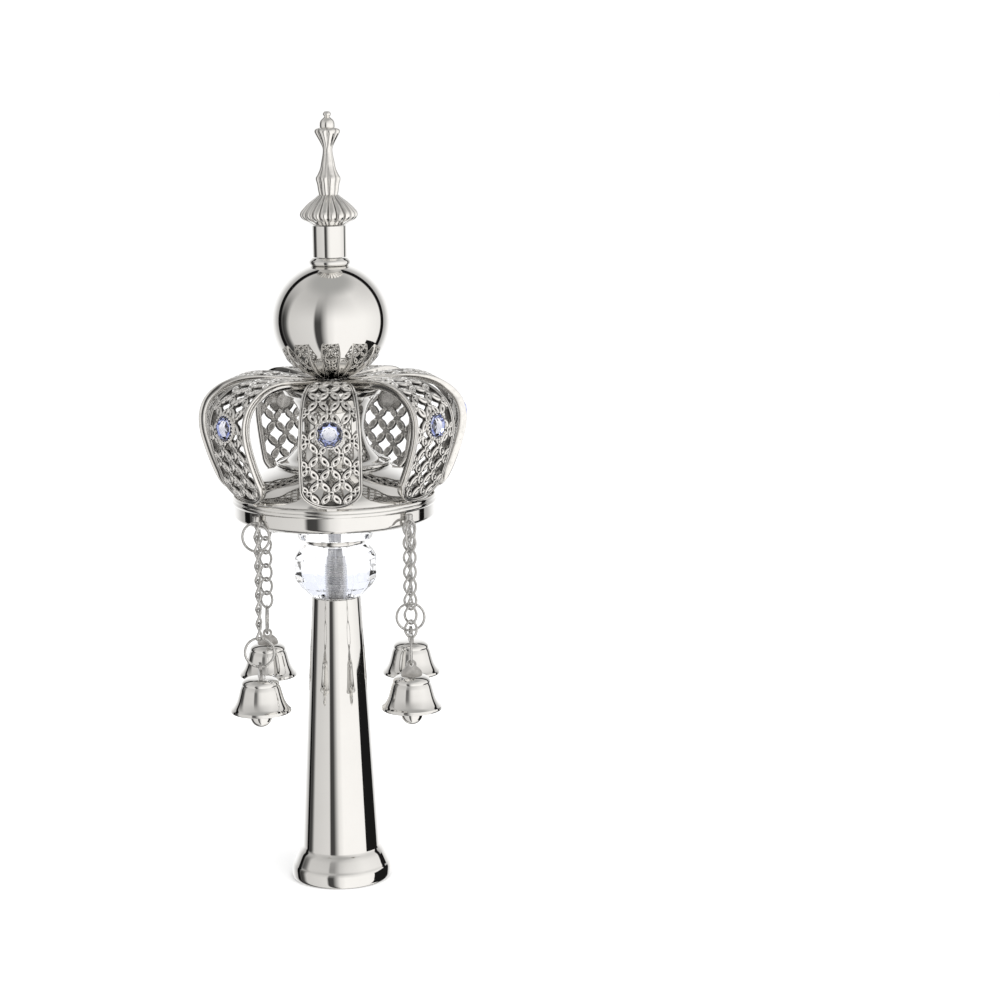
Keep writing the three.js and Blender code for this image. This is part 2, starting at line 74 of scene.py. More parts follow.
class Form:
    """Collects points and faces for one piece, each face with the number of its finish."""

    def __init__(self):
        """Starts with nothing in it."""
        self.points = []
        self.faces = []
        self.finishes = []
        self.hollows = []
        self.count = 0

    def add(self, points, faces, finish=0, hollow=0.0):
        """Adds a surface whose faces count their points from zero, hollow being its depth."""
        points = np.asarray(points, dtype=float)
        self.hollows.append(np.broadcast_to(np.asarray(hollow, dtype=float), len(points)))
        self.points.append(points)
        self.faces.extend([tuple(self.count + i for i in face) for face in faces])
        self.finishes.extend([finish] * len(faces))
        self.count += len(points)
        return self

    def moved(self, move):
        """The same form with every point passed through a function of an (n, 3) array."""
        self.points = [move(points) for points in self.points]
        return self

    def piece(self, name, finishes, crease=None):
        """Makes the object, smooth except along edges sharper than crease degrees."""
        mesh = bpy.data.meshes.new(name)
        points = np.concatenate(self.points) * MM
        mesh.from_pydata(points.tolist(), [], self.faces)
        for finish in finishes:
            mesh.materials.append(finish)
        mesh.polygons.foreach_set("material_index", self.finishes)
        mesh.polygons.foreach_set("use_smooth", [True] * len(self.faces))
        # The hollow depth of each point, which the casting finish turns into painted shade.
        hollow = mesh.attributes.new("hollow", "FLOAT", "POINT")
        hollow.data.foreach_set("value", np.concatenate(self.hollows))
        mesh.update()
        if crease is not None:
            mesh.set_sharp_from_angle(angle=math.radians(crease))
        obj = bpy.data.objects.new(name, mesh)
        bpy.context.scene.collection.objects.link(obj)
        return obj


def settle(piece, slot, *nodes):
    """Hangs a piece on the frame, in place of the nodes that it stands for."""
    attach(piece, BODY)
    if nodes:
        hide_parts(*nodes)
    return piece


def strips(rows, around, closed=True):
    """Faces between rows of points that each hold the same number of points."""
    faces = []
    last = around if closed else around - 1
    for row in range(rows - 1):
        for i in range(last):
            j = (i + 1) % around
            a, b = row * around + i, row * around + j
            faces.append((a, b, b + around, a + around))
    return faces


def softened(outline, steps=4):
    """An outline of (radius, height, rounding) with each corner eased by its rounding."""
    count = len(outline)
    eased = []
    for i, (r, z, rounding) in enumerate(outline):
        here = np.array([r, z])
        if rounding == 0:
            eased.append((r, z))
            continue
        before = np.array(outline[i - 1][:2]) - here
        after = np.array(outline[(i + 1) % count][:2]) - here
        reach_before = min(rounding, 0.48 * np.linalg.norm(before))
        reach_after = min(rounding, 0.48 * np.linalg.norm(after))
        start = here + before / np.linalg.norm(before) * reach_before
        end = here + after / np.linalg.norm(after) * reach_after
        for t in np.linspace(0, 1, steps + 1):
            eased.append(tuple((1 - t) ** 2 * start + 2 * t * (1 - t) * here + t * t * end))
    return eased


def flowing(points, per_span=8):
    """A smooth curve through points, as a list of tuples."""
    controls = [np.array(p, dtype=float) for p in points]
    first = 2 * controls[0] - controls[1]
    last = 2 * controls[-1] - controls[-2]
    controls = [first, *controls, last]
    curve = []
    for p0, p1, p2, p3 in zip(controls, controls[1:], controls[2:], controls[3:]):
        t1 = np.linalg.norm(p1 - p0) ** 0.5
        t2 = t1 + np.linalg.norm(p2 - p1) ** 0.5
        t3 = t2 + np.linalg.norm(p3 - p2) ** 0.5
        for t in np.linspace(t1, t2, per_span, endpoint=False):
            a1 = (t1 - t) / t1 * p0 + t / t1 * p1
            a2 = (t2 - t) / (t2 - t1) * p1 + (t - t1) / (t2 - t1) * p2
            a3 = (t3 - t) / (t3 - t2) * p2 + (t - t2) / (t3 - t2) * p3
            b1 = (t2 - t) / t2 * a1 + t / t2 * a2
            b2 = (t3 - t) / (t3 - t1) * a2 + (t - t1) / (t3 - t1) * a3
            curve.append(tuple((t2 - t) / (t2 - t1) * b1 + (t - t1) / (t2 - t1) * b2))
    curve.append(tuple(controls[-2]))
    return curve


def arc(centre_r, centre_z, radius, start, end, steps=8):
    """Points along an arc, its angles in degrees from the outward direction."""
    angles = np.radians(np.linspace(start, end, steps + 1))
    return [(centre_r + radius * math.cos(a), centre_z + radius * math.sin(a)) for a in angles]


def turned(outline, steps=160, ring=True, swell=None):
    """Points and faces of an outline turned about the axis, anticlockwise outlines facing out.

    swell(angle, height, radius) may change a point's radius as it goes round.
    """
    on_axis = [not ring and i in (0, len(outline) - 1) for i in range(len(outline))]
    angles = np.linspace(0, 2 * math.pi, steps, endpoint=False)
    points = []
    starts = []
    for (r, z), single in zip(outline, on_axis):
        starts.append(len(points))
        if single:
            points.append((0.0, 0.0, z))
            continue
        radii = np.full(steps, float(r)) if swell is None else swell(angles, z, r)
        points.extend(zip(radii * np.cos(angles), radii * np.sin(angles), np.full(steps, z)))
    faces = []
    rows = len(outline)
    for row in range(rows if ring else rows - 1):
        nxt = (row + 1) % rows
        a0, b0 = starts[row], starts[nxt]
        for i in range(steps):
            j = (i + 1) % steps
            if on_axis[row]:
                faces.append((a0, b0 + j, b0 + i))
            elif on_axis[nxt]:
                faces.append((a0 + i, a0 + j, b0))
            else:
                faces.append((a0 + i, a0 + j, b0 + j, b0 + i))
    return points, faces


def wire(path, radius, sides=8, closed=True):
    """A round wire along a path of points, which closes on itself where asked."""
    path = np.asarray(path, dtype=float)
    count = len(path)
    if closed:
        tangents = np.roll(path, -1, axis=0) - np.roll(path, 1, axis=0)
    else:
        tangents = np.gradient(path, axis=0)
    tangents /= np.linalg.norm(tangents, axis=1)[:, None]
    normal = np.cross(tangents[0], [0.3, 0.5, 0.8])
    rings = []
    angles = np.linspace(0, 2 * math.pi, sides, endpoint=False)
    normals = []
    for tangent in tangents:
        normal = normal - tangent * np.dot(normal, tangent)
        normal /= np.linalg.norm(normal)
        normals.append(normal)
    twist = 0.0
    if closed:
        back = normals[-1] - tangents[0] * np.dot(normals[-1], tangents[0])
        back /= np.linalg.norm(back)
        side = np.cross(tangents[0], normals[0])
        twist = -math.atan2(np.dot(back, side), np.dot(back, normals[0]))
    for i, (centre, tangent, normal) in enumerate(zip(path, tangents, normals)):
        side = np.cross(tangent, normal)
        turn = angles + twist * i / count
        rings.append(centre + radius * (np.outer(np.cos(turn), normal)
                                        + np.outer(np.sin(turn), side)))
    points = np.concatenate(rings)
    faces = strips(count, sides)
    if closed:
        faces += [((count - 1) * sides + i, (count - 1) * sides + (i + 1) % sides,
                   (i + 1) % sides, i) for i in range(sides)]
    else:
        faces.append(tuple(range(sides - 1, -1, -1)))
        faces.append(tuple((count - 1) * sides + i for i in range(sides)))
    return points, faces


def mound(outline, rings):
    """A small raised form: an outline repeated at (scale, rise, hollow) and closed on top."""
    around = len(outline)
    points = []
    hollows = []
    for scale, rise, hollow in rings:
        points.extend((x * scale, y * scale, rise) for x, y in outline)
        hollows.extend([hollow] * around)
    faces = strips(len(rings), around)
    points.append((0.0, 0.0, rings[-1][1]))
    top = (len(rings) - 1) * around
    faces += [(top + i, top + (i + 1) % around, len(points) - 1) for i in range(around)]
    return points, faces, [*hollows, hollows[-1]]


def turn_about_axis(angle):
    """A function that turns an (n, 3) array of points about the finial's axis."""
    turn = np.array(Matrix.Rotation(angle, 3, "Z"))
    return lambda points: np.asarray(points) @ turn.T


# ---------------------------------------------------------------------------------------
# Node tools and shared shader effects
# ---------------------------------------------------------------------------------------

def new_group(name, inputs, outputs):
    """A shader node group with named sockets: (name, type, default)."""
    group = bpy.data.node_groups.new(name, "ShaderNodeTree")
    for label, kind, default in inputs:
        socket = group.interface.new_socket(name=label, in_out="INPUT", socket_type=kind)
        socket.default_value = default
    for label, kind in outputs:
        group.interface.new_socket(name=label, in_out="OUTPUT", socket_type=kind)
    start = group.nodes.new("NodeGroupInput")
    end = group.nodes.new("NodeGroupOutput")
    return group, start, end


def math_node(nodes, links, operation, first, second=None, clamp=False):
    """A Math node fed by sockets or plain numbers, returning its result."""
    node = nodes.new("ShaderNodeMath")
    node.operation = operation
    node.use_clamp = clamp
    for socket, value in zip(node.inputs, (first, second)):
        if value is None:
            continue
        if isinstance(value, (int, float)):
            socket.default_value = value
        else:
            links.new(value, socket)
    return node.outputs[0]


def noise(nodes, links, place, scale, detail=3.0, rough=0.5):
    """A noise texture's value over object coordinates."""
    node = nodes.new("ShaderNodeTexNoise")
    node.inputs["Detail"].default_value = detail
    node.inputs["Roughness"].default_value = rough
    if isinstance(scale, (int, float)):
        node.inputs["Scale"].default_value = scale
    else:
        links.new(scale, node.inputs["Scale"])
    links.new(place, node.inputs["Vector"])
    return node.outputs["Fac"]


def polish_wear_group():
    """Handling marks on polished plate: cloudy patches, wiping lines and a faint ripple."""
    group, start, end = new_group(
        "Polish Wear",
        [("Tint", "NodeSocketColor", (0.86, 0.85, 0.83, 1)),
         ("Worn Tint", "NodeSocketColor", (0.78, 0.76, 0.73, 1)),
         ("Gloss", "NodeSocketFloat", 0.05),
         ("Cloudiness", "NodeSocketFloat", 0.05),
         ("Ripple", "NodeSocketFloat", 0.02),
         ("Size", "NodeSocketFloat", 60.0)],
        [("Color", "NodeSocketColor"), ("Roughness", "NodeSocketFloat"),
         ("Normal", "NodeSocketVector")],
    )
    nodes, links = group.nodes, group.links
    place = nodes.new("ShaderNodeTexCoord").outputs["Object"]
    clouds = noise(nodes, links, place, start.outputs["Size"], 4.0, 0.6)
    wiping = noise(nodes, links, place, 900.0, 2.0)
    mixed = nodes.new("ShaderNodeMix")
    mixed.data_type = "RGBA"
    links.new(clouds, mixed.inputs["Factor"])
    links.new(start.outputs["Tint"], mixed.inputs["A"])
    links.new(start.outputs["Worn Tint"], mixed.inputs["B"])
    links.new(mixed.outputs["Result"], end.inputs["Color"])
    cloudy = math_node(nodes, links, "MULTIPLY", clouds, start.outputs["Cloudiness"])
    wiped = math_node(nodes, links, "MULTIPLY", wiping, 0.02)
    rough = math_node(nodes, links, "ADD", start.outputs["Gloss"], cloudy)
    links.new(math_node(nodes, links, "ADD", rough, wiped), end.inputs["Roughness"])
    ripple = noise(nodes, links, place, start.outputs["Size"], 1.0)
    bump = nodes.new("ShaderNodeBump")
    bump.inputs["Distance"].default_value = 0.0008
    links.new(start.outputs["Ripple"], bump.inputs["Strength"])
    links.new(ripple, bump.inputs["Height"])
    links.new(bump.outputs["Normal"], end.inputs["Normal"])
    return group


def painted_hollow_shade_group():
    """Painted shade: darkens a casting's hollows, creases and undersides, read from the depth kept with
    its points, with some random unevenness.
    """
    group, start, end = new_group(
        "Painted Hollow Shade",
        [("Bright", "NodeSocketColor", (0.84, 0.82, 0.79, 1)),
         ("Dark", "NodeSocketColor", (0.12, 0.11, 0.1, 1)),
         ("Bright Gloss", "NodeSocketFloat", 0.1),
         ("Dark Gloss", "NodeSocketFloat", 0.45)],
        [("Color", "NodeSocketColor"), ("Roughness", "NodeSocketFloat")],
    )
    nodes, links = group.nodes, group.links
    depth = nodes.new("ShaderNodeAttribute")
    depth.attribute_name = "hollow"
    place = nodes.new("ShaderNodeTexCoord").outputs["Object"]
    uneven = noise(nodes, links, place, 420.0, 3.0)
    shifted = math_node(nodes, links, "SUBTRACT", uneven, 0.5)
    spread = math_node(nodes, links, "MULTIPLY", shifted, 0.5)
    # The painted shade mask: the hollow depth plus random unevenness, clamped.
    mask = math_node(nodes, links, "ADD", depth.outputs["Fac"], spread, clamp=True)
    mixed = nodes.new("ShaderNodeMix")
    mixed.data_type = "RGBA"
    links.new(mask, mixed.inputs["Factor"])
    links.new(start.outputs["Bright"], mixed.inputs["A"])
    links.new(start.outputs["Dark"], mixed.inputs["B"])
    links.new(mixed.outputs["Result"], end.inputs["Color"])
    gloss = nodes.new("ShaderNodeMix")
    links.new(mask, gloss.inputs["Factor"])
    links.new(start.outputs["Bright Gloss"], gloss.inputs["A"])
    links.new(start.outputs["Dark Gloss"], gloss.inputs["B"])
    links.new(gloss.outputs["Result"], end.inputs["Roughness"])
    return group


def shared(name, make):
    """A node group that is made once and then used again."""
    return bpy.data.node_groups.get(name) or make()


def new_finish(name):
    """A material with an empty Principled shader and its node and link lists."""
    material = bpy.data.materials.new(name)
    material.use_nodes = True
    nodes, links = material.node_tree.nodes, material.node_tree.links
    shader = nodes["Principled BSDF"]
    return material, shader, nodes, links


def rgba(color):
    """A colour property as the four numbers that a socket takes."""
    return (*color[:3], 1.0)


def plate_finish(name, tint, gloss, cloudiness=0.04, ripple=0.03, size=60.0):
    """Polished nickel plate."""
    if name in bpy.data.materials:
        return bpy.data.materials[name]
    material, shader, nodes, links = new_finish(name)
    wear = nodes.new("ShaderNodeGroup")
    wear.node_tree = shared("Polish Wear", polish_wear_group)
    wear.inputs["Tint"].default_value = rgba(tint)
    wear.inputs["Worn Tint"].default_value = rgba([0.93 * c for c in tint])
    wear.inputs["Gloss"].default_value = gloss
    wear.inputs["Cloudiness"].default_value = cloudiness
    wear.inputs["Ripple"].default_value = ripple
    wear.inputs["Size"].default_value = size
    shader.inputs["Metallic"].default_value = 1.0
    links.new(wear.outputs["Color"], shader.inputs["Base Color"])
    links.new(wear.outputs["Roughness"], shader.inputs["Roughness"])
    links.new(wear.outputs["Normal"], shader.inputs["Normal"])
    return material


def cast_finish(name, tint, dark, gloss):
    """Plated casting, bright on its high places, with painted shade darkening its hollows."""
    if name in bpy.data.materials:
        return bpy.data.materials[name]
    material, shader, nodes, links = new_finish(name)
    # Painted shade: the hollow-shade group darkens the casting by the depth stored with its points.
    painted_shade = nodes.new("ShaderNodeGroup")
    painted_shade.node_tree = shared("Painted Hollow Shade", painted_hollow_shade_group)
    painted_shade.inputs["Bright"].default_value = rgba(tint)
    painted_shade.inputs["Dark"].default_value = rgba(dark)
    painted_shade.inputs["Bright Gloss"].default_value = gloss
    shader.inputs["Metallic"].default_value = 1.0
    links.new(painted_shade.outputs["Color"], shader.inputs["Base Color"])
    links.new(painted_shade.outputs["Roughness"], shader.inputs["Roughness"])
    return material


def uneven_tint(nodes, links, scale, detail, first, second):
    """A colour that drifts between two tints over the surface, and the drift itself."""
    place = nodes.new("ShaderNodeTexCoord").outputs["Object"]
    drift = noise(nodes, links, place, scale, detail)
    mixed = nodes.new("ShaderNodeMix")
    mixed.data_type = "RGBA"
    mixed.inputs["A"].default_value = first
    mixed.inputs["B"].default_value = second
    links.new(drift, mixed.inputs["Factor"])
    return mixed.outputs["Result"], drift


def lighter(tint, times):
    """A colour made lighter, as far as white."""
    return rgba([min(1.0, times * c) for c in tint])


def glassy_finish(name, tint, second, scale, refraction, haze):
    """Clear glass with a faint cast and the least unevenness of hand polishing."""
    material, shader, nodes, links = new_finish(name)
    shader.inputs["Transmission Weight"].default_value = 1.0
    shader.inputs["IOR"].default_value = refraction
    shader.inputs["Metallic"].default_value = 0.0
    color, drift = uneven_tint(nodes, links, scale, 2.0, rgba(tint), second)
    links.new(color, shader.inputs["Base Color"])
    links.new(math_node(nodes, links, "MULTIPLY", drift, haze), shader.inputs["Roughness"])
    return material


def crystal_finish(tint):
    """The bead's clear cut crystal."""
    return glassy_finish("clear_cut_crystal", tint, WHITE, 180.0, 1.5, 0.015)


def stone_finish(tint):
    """The stone's own clear pale glass."""
    return glassy_finish("pale_cut_stone", tint, lighter(tint, 1.06), 300.0, 1.58, 0.02)


def foil_finish(tint):
    """The foil behind a stone: silvery blue, a little uneven."""
    material, shader, nodes, links = new_finish("stone_foil")
    shader.inputs["Metallic"].default_value = 1.0
    color, drift = uneven_tint(nodes, links, 600.0, 2.0, rgba(tint), lighter(tint, 1.25))
    links.new(color, shader.inputs["Base Color"])
    links.new(math_node(nodes, links, "MULTIPLY", drift, 0.1), shader.inputs["Roughness"])
    return material


# ---------------------------------------------------------------------------------------
# Sizes and colours
# ---------------------------------------------------------------------------------------

class FinialSizes(bpy.types.PropertyGroup):
    """Sizes of the details that the frame leaves open."""

    thread_pitch: FloatProperty(
        name="Thread pitch", description="From one thread of the rod to the next",
        default=1.0 * MM, unit="LENGTH")
    cell_across: FloatProperty(
        name="Cell width", description="Width of a strap's lattice cell",
        default=9.0 * MM, unit="LENGTH")
    cell_along: FloatProperty(
        name="Cell length", description="Length of a strap's lattice cell",
        default=12.0 * MM, unit="LENGTH")
    petal_length: FloatProperty(
        name="Petal length", description="Length of the petal on each lattice bar",
        default=5.9 * MM, unit="LENGTH")
    petal_width: FloatProperty(
        name="Petal width", description="Width of the petal on each lattice bar",
        default=3.0 * MM, unit="LENGTH")
    border_width: FloatProperty(
        name="Border width", description="Width of a strap's plain border",
        default=1.65 * MM, unit="LENGTH")
    border_depth: FloatProperty(
        name="Border depth", description="Depth of a strap's border, inwards from its face",
        default=3.0 * MM, unit="LENGTH")
    wire: FloatProperty(
        name="Chain wire", description="Thickness of the chain's wire",
        default=1.08 * MM, unit="LENGTH")
    setting_beads: IntProperty(
        name="Setting beads", description="Beads round each stone", default=22)


class FinialFinish(bpy.types.PropertyGroup):
    """Colours of the finial's materials."""

    nickel: FloatVectorProperty(
        name="Nickel", description="Polished nickel plate", subtype="COLOR",
        default=(0.87, 0.86, 0.84))
    cast: FloatVectorProperty(
        name="Casting", description="High places of the cast pieces", subtype="COLOR",
        default=(0.9, 0.885, 0.86))
    # Painted shade: the near-black colour painted into the hollows of the cast pieces.
    painted_shade: FloatVectorProperty(
        name="Painted shade", description="Hollows of the cast pieces", subtype="COLOR",
        default=(0.035, 0.032, 0.03))
    steel: FloatVectorProperty(
        name="Steel", description="Threaded rod", subtype="COLOR",
        default=(0.62, 0.61, 0.6))
    crystal: FloatVectorProperty(
        name="Crystal", description="Clear bead", subtype="COLOR",
        default=(0.95, 0.965, 1.0))
    stone: FloatVectorProperty(
        name="Stone", description="Pale cut stones", subtype="COLOR",
        default=(0.86, 0.88, 1.0))
    foil: FloatVectorProperty(
        name="Foil", description="Foil behind the stones", subtype="COLOR",
        default=(0.42, 0.46, 0.68))


class StudioSettings(bpy.types.PropertyGroup):
    """The plain studio round the finial."""

    floor: FloatVectorProperty(
        name="Floor", description="Pale floor", subtype="COLOR", default=(0.93, 0.93, 0.93))
    surround: FloatProperty(
        name="Surround", description="Brightness of the white surround", default=1.15)
    key_power: FloatProperty(
        name="Key light", description="Power of the soft light from above", default=10.0)


def finishes():
    """The finish properties of this scene."""
    return bpy.context.scene.finial_finish


def sizes():
    """The size properties of this scene, as they are."""
    return bpy.context.scene.finial_sizes


def polished():
    """The finish of the spun pieces."""
    return plate_finish("mirror_nickel", finishes().nickel, 0.02, 0.03, 0.02)


def casting():
    """The finish of the cast pieces, with painted shade in their hollows."""
    return cast_finish("casting_with_painted_shade", finishes().cast, finishes().painted_shade, 0.07)


# ---------------------------------------------------------------------------------------
# Sleeve, crystal and rod
# ---------------------------------------------------------------------------------------

def sleeve_outline():
    """The spun sleeve and foot, outside then inside, open below."""
    low, high = span("handle_sleeve")
    top = high[2]
    foot = (high[1] - low[1]) / 2
    return softened([
        (14.9, 0.0, 0.2),
        (foot - 0.8, 0.0, 0.6),
        (foot, 1.2, 1.2),
        (foot, 4.6, 1.4),
        (foot - 0.5, 6.2, 0.8),
        (foot - 1.0, 6.8, 0.5),
        (19.2, 9.6, 2.0),
        (18.1, 11.9, 1.0),
        (16.9, 13.2, 0.4),
        (16.5, 13.9, 0.4),
        (10.5, top - 0.4, 0.3),
        (10.1, top, 0.2),
        (BORE, top, 0.2),
        (BORE, top - 2.4, 0.2),
        (9.3, top - 2.4, 0.2),
        (14.2, 12.0, 0.5),
    ])


def rod_outline(bottom, top, radius):
    """Half-outline of the plain part of the rod."""
    return softened([(0, bottom, 0), (radius, bottom, 0), (radius, top, 0.5), (0, top, 0)])


def threaded_bar(bottom, top, radius, pitch, depth, around=32, per_turn=6):
    """A screw thread: a radius that climbs once round the bar in each pitch."""
    rows = int((top - bottom) / pitch * per_turn) + 1
    heights = np.linspace(bottom, top, rows)
    angles = np.linspace(0, 2 * math.pi, around, endpoint=False)
    h, a = np.meshgrid(heights, angles, indexing="ij")
    phase = (h / pitch - a / (2 * math.pi)) % 1.0
    radii = radius - depth * np.abs(2 * phase - 1)
    points = np.stack([radii * np.cos(a), radii * np.sin(a), h], axis=-1).reshape(-1, 3)
    faces = strips(rows, around)
    faces.append(tuple(range(around - 1, -1, -1)))
    faces.append(tuple((rows - 1) * around + i for i in range(around)))
    return points, faces


class FINIAL_OT_sleeve(bpy.types.Operator):
    """Spins the sleeve with its foot"""

    bl_idname = "finial.sleeve"
    bl_label = "Sleeve"

    def execute(self, context):
        """Builds the sleeve."""
        form = Form().add(*turned(sleeve_outline(), 192))
        piece = form.piece("spun_sleeve", [polished()], crease=40)
        settle(piece, "polished_nickel", "handle_sleeve")
        return {"FINISHED"}


class FINIAL_OT_rod(bpy.types.Operator):
    """Cuts the threaded rod"""

    bl_idname = "finial.rod"
    bl_label = "Threaded rod"

    def execute(self, context):
        """Builds the rod, threaded where it can be seen."""
        low, high = span("threaded_rod")
        radius = (high[1] - low[1]) / 2
        into_base = 3.0
        depth = 0.55
        thread_top = span("crown_base")[0][2] + into_base
        pitch = sizes().thread_pitch / MM
        form = Form()
        form.add(*threaded_bar(low[2], thread_top, radius, pitch, depth))
        form.add(*turned(rod_outline(thread_top, high[2], radius - 0.3), 48, ring=False))
        steel = plate_finish("rod_steel", finishes().steel, 0.22, 0.12, 0.2, 400.0)
        settle(form.piece("screw_rod", [steel], crease=50), "threaded_steel", "threaded_rod")
        return {"FINISHED"}


class FINIAL_OT_crystal(bpy.types.Operator):
    """Cuts the crystal bead"""

    bl_idname = "finial.crystal"
    bl_label = "Crystal bead"

    def execute(self, context):
        """Builds the bead with its facets and bore."""
        low, high = span("crystal_bead")
        bottom, top = low[2], high[2]
        facets = 14
        bore = 5.6
        outline = [
            (bore, bottom), (11.0, bottom), (11.4, bottom + 0.3), (15.2, bottom + 4.0),
            (17.7, bottom + 7.8), (17.7, bottom + 16.6), (15.9, bottom + 19.6),
            (13.2, top - 0.3), (12.8, top), (bore, top),
        ]
        outer = turned(outline, facets, ring=True)
        turn = turn_about_axis(math.radians(-90))
        form = Form().add(*outer).moved(turn)
        piece = form.piece("cut_bead", [crystal_finish(finishes().crystal)])
        piece.data.polygons.foreach_set("use_smooth", [False] * len(piece.data.polygons))
        edge = piece.modifiers.new("polished_edges", "BEVEL")
        edge.width = 0.22 * MM
        edge.segments = 2
        edge.limit_method = "ANGLE"
        edge.angle_limit = math.radians(12)
        settle(piece, "clear_crystal", "crystal_bead")
        return {"FINISHED"}


# ---------------------------------------------------------------------------------------
# Crown base, dome and spool
# ---------------------------------------------------------------------------------------

def base_outline():
    """Foot ring, shallow pan, upright band and rolled rim."""
    low, high = span("crown_base")
    bottom, top = low[2], high[2]
    return softened([
        (BORE, bottom, 0.2),
        (12.2, bottom, 0.3),
        (12.7, bottom + 0.5, 0.4),
        (12.7, bottom + 1.3, 0.4),
        (12.3, bottom + 1.9, 0.2),
        (15.0, bottom + 2.1, 1.5),
        (20.3, bottom + 3.7, 4.0),
        (31.0, bottom + 7.9, 6.0),
        (41.3, bottom + 11.4, 0.8),
        (42.7, bottom + 12.7, 0.7),
        (42.7, top - 3.8, 0.3),
        (43.0, top - 3.6, 0.3),
        (43.4, top - 3.1, 0.5),
        (43.4, top - 2.2, 0.5),
        (43.0, top - 1.9, 0.2),
        (43.2, top - 1.6, 0.3),
        (43.2, top - 0.8, 0.6),
        (42.5, top, 0.5),
        (40.9, top, 0.4),
        (40.6, top - 1.0, 0.4),
        (41.5, bottom + 14.0, 1.0),
        (30.6, bottom + 9.3, 5.0),
        (20.0, bottom + 5.2, 4.0),
        (BORE, bottom + 3.2, 0.3),
    ])


def dome_outline():
    """The domed shoulder, outside then underside."""
    low, high = span("crown_dome")
    bottom, top = low[2], high[2]
    outside = flowing([(39.9, bottom), (38.9, bottom + 2.6), (35.0, bottom + 6.8),
                       (30.0, bottom + 10.0), (24.6, bottom + 12.6)])
    inside = flowing([(23.6, bottom + 11.9), (29.4, bottom + 9.2), (34.2, bottom + 6.1),
                      (37.9, bottom + 2.3), (38.8, bottom)])
    return [*outside, (24.0, top), (BORE, top), (BORE, top - 1), *inside]


def spool_outline():
    """The spool, from its lip over the waist to its cap, then inside."""
    low, high = span("crown_spool")
    bottom, top = low[2], high[2]
    outside = flowing([(23.4, bottom + 1.5), (19.6, bottom + 3.2), (15.6, bottom + 7.2),
                       (13.4, bottom + 13.0), (13.3, bottom + 18.0), (15.0, bottom + 24.0),
                       (18.2, bottom + 28.2), (20.7, bottom + 30.3)])
    lip = arc(23.6, bottom + 0.75, 0.75, -90, 60, 6)
    cap_edge = arc(20.7, top - 0.6, 0.6, -40, 90, 6)
    inside = flowing([(14.0, top - 1.2), (12.0, bottom + 18.0), (12.1, bottom + 12.0),
                      (17.5, bottom)])
    return [*lip, *outside, *cap_edge, (BORE, top), (BORE, top - 1.2), *inside]


class FINIAL_OT_base(bpy.types.Operator):
    """Spins the crown's base, dome and spool"""

    bl_idname = "finial.base"
    bl_label = "Crown base, dome and spool"

    def execute(self, context):
        """Builds the three spun pieces inside the crown."""
        for outline, steps, name, node in (
                (base_outline(), 224, "base_pan", "crown_base"),
                (dome_outline(), 192, "domed_shoulder", "crown_dome"),
                (spool_outline(), 160, "centre_spool", "crown_spool")):
            piece = Form().add(*turned(outline, steps)).piece(name, [polished()], 40)
            settle(piece, "polished_nickel", node)
        return {"FINISHED"}


# ---------------------------------------------------------------------------------------
# Straps and stones
# ---------------------------------------------------------------------------------------

class StrapSurface:
    """The front strap's outer face, which carries points of a flat strap onto its bulge."""

    PATH = [(43.5, 169.6), (45.9, 174.2), (49.4, 181.6), (52.5, 190.0), (54.5, 198.0),
            (54.4, 204.5), (52.1, 210.3), (47.5, 214.8), (41.4, 217.9), (34.0, 219.2),
            (26.0, 219.1), (18.5, 218.4), (11.5, 217.9), (6.4, 217.7)]
    TAPER = [(0, 1), (0.32, 1), (0.45, 0.955), (0.56, 0.88), (0.66, 0.76), (0.78, 0.6),
             (0.9, 0.36), (1, 0.21)]
    HALF_WIDTH = 12.9
    END = 9.8
    JEWEL_HEIGHT = 202.0

    def __init__(self):
        """Measures the path once, for every point that is bent onto it."""
        path = np.array(flowing(self.PATH, 24))
        steps = np.linalg.norm(np.diff(path, axis=0), axis=1)
        self.along = np.concatenate([[0], np.cumsum(steps)])
        self.length = self.along[-1]
        tangents = np.gradient(path, self.along, axis=0)
        tangents /= np.linalg.norm(tangents, axis=1)[:, None]
        self.radius, self.height = path.T
        self.out_r, self.out_z = tangents[:, 1], -tangents[:, 0]
        self.tangent_r, self.tangent_z = tangents.T
        self.jewel = float(self.along[np.argmax(self.height >= self.JEWEL_HEIGHT)])

    def bend(self, points):
        """Points (across, along, out) on the flat strap, carried to their real place."""
        across, along, out = np.asarray(points, dtype=float).T
        inside = np.clip(along, 0, self.length)
        beyond = along - inside
        read = lambda values: np.interp(inside, self.along, values)
        radius = read(self.radius) + read(self.out_r) * out + read(self.tangent_r) * beyond
        height = read(self.height) + read(self.out_z) * out + read(self.tangent_z) * beyond
        return np.stack([across, -radius, height], axis=-1)

    def half_width(self, along):
        """Half of the strap's width at a distance from its tip."""
        if along < self.END:
            back = 1 - max(along, 0) / self.END
            return self.HALF_WIDTH * math.sqrt(1 - back * back)
        shares, widths = zip(*self.TAPER)
        return self.HALF_WIDTH * float(np.interp(along / self.length, shares, widths))

    def inside(self, across, along, margin):
        """Whether a flat point lies at least margin inside the strap's outline."""
        if along < margin or along > self.length:
            return False
        if along < self.END:
            centre = self.END
            reach = self.HALF_WIDTH
            scaled = math.hypot(across / reach, (centre - along) / self.END)
            return scaled < 1 - margin / min(reach, self.END)
        return abs(across) < self.half_width(along) - margin

    def jewel_frame(self):
        """The turn and place that stand a piece made about +Z on the jewel's seat."""
        at = np.array([[0, self.jewel, 0], [0, self.jewel, 1.0]])
        foot, tip = self.bend(at)
        outward = Vector(tip - foot).normalized()
        up = Vector((0, 0, 1))
        up = (up - outward * up.dot(outward)).normalized()
        side = up.cross(outward)
        turn = np.array(Matrix((side, up, outward)).transposed())
        return lambda points: np.asarray(points) @ turn.T + foot


